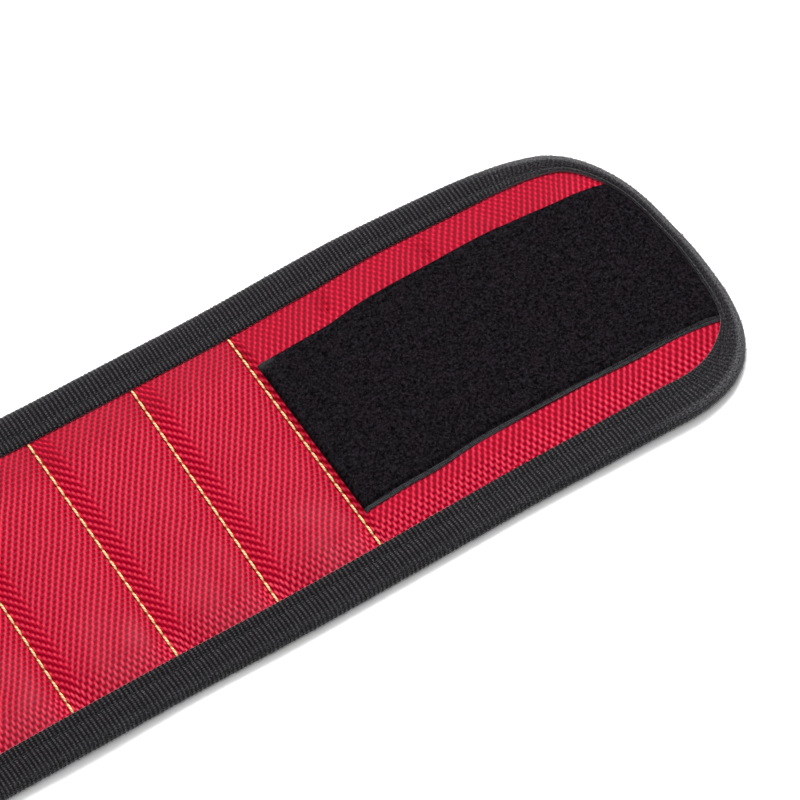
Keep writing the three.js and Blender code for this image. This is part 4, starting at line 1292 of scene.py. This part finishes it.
for name in [n for n in frame["nodes"] if n.startswith("magnet")]:
    low, high = (np.array(corner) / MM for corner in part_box(name))
    points, faces = disc_shape((high[0] - low[0]) / 2, low[2], high[2])
    points[:, :2] += (low[:2] + high[:2]) / 2
    disc = make_piece("plated_" + name, points, faces, points[:, :2], magnet_metal, crisp=30)
    body = next(b for b in BODIES if b in name)
    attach(disc, body)
    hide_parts(name)
print("Foam cut and magnets in their recesses")


# %% Mould the hooks
def hook_shape():
    """One hook: a four-sided stem that turns over at its top, 1 mm high, to be scaled."""
    bow = np.array([[0.0, 0.0], [0.0, 0.45], [0.08, 0.8], [0.3, 1.0], [0.52, 0.9], [0.6, 0.65]])
    points, rings = [], len(bow)
    for k, (bx, bz) in enumerate(bow):
        ahead_way = bow[min(k + 1, rings - 1)] - bow[max(k - 1, 0)]
        ahead_way = ahead_way / np.linalg.norm(ahead_way)
        wide = 0.13 * (1 - 0.09 * k)
        for a, b in ((wide, wide), (-wide, wide), (-wide, -wide), (wide, -wide)):
            points.append([bx + a * ahead_way[1], b, bz - a * ahead_way[0]])
    quads = [list(q) for q in grid_faces(rings, 4, round_rows=True)]
    return np.array(points), quads + [[3, 2, 1, 0], [20, 21, 22, 23]]


HOOK_START, HOOK_PITCH, HOOK_REACH, HOOK_HEIGHT = FOLDS[0] - 14.2, 1.55, 0.8, 0.5
HOOK_BACK_LEVEL, HOOK_ROOT_LEVEL = 0.52, 0.54
across_hooks = np.linspace(-PATCH_HALF, PATCH_HALF, 51)
shares = np.linspace(0, 1, 50)
y = np.repeat(across_hooks[None, :], len(shares), 0)
x = HOOK_START + shares[:, None] * (-patch_end(across_hooks, TAPE_REACH)[None, :] - HOOK_START)
back = slab("hook_patch_back", x, y, 0 * x + LINING_BOTTOM - 0.03, 0 * x + HOOK_BACK_LEVEL, hook_cloth)
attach(back, "hook_flap")
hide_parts("hook_patch")
rows = np.arange(-PATCH_HALF + 2.2, PATCH_HALF - 2, HOOK_PITCH)
columns = np.arange(-TIP + TAPE_REACH + 1.5, HOOK_START - 1, HOOK_PITCH)
spots = np.array([(px, py) for px in columns for py in rows])
spots = spots[spots[:, 0] > -patch_end(spots[:, 1], TAPE_REACH) + 1]
turned = np.where(np.round(spots[:, 1] / HOOK_PITCH).astype(int) % 2 == 0, 0.0, math.pi)
roots = np.concatenate([spots, np.full((len(spots), 1), HOOK_ROOT_LEVEL)], 1)
reaches, heights = np.full(len(spots), HOOK_REACH), np.full(len(spots), HOOK_HEIGHT)
hooks = fibres("hooks", roots, turned, reaches, heights, 1.0, hook_cloth, hook_shape(), upside=-1)
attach(hooks, "hook_flap")
print("Hooks moulded:", len(spots))

# %% [markdown]
# ## The size
# Both boxes are printed, the CAD model's and the dressed band's. The way the cloth lies takes the
# dressed band about two millimetres past the other, at the tip and at the edges.

# %% Print the sizes and finish
low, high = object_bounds()
boxes = {"cad": [list(cad_low), list(cad_high)], "visual": [list(low), list(high)]}
print("Sizes in mm:", {k: [round((b - a) * 1000, 2) for a, b in zip(*v)] for k, v in boxes.items()})
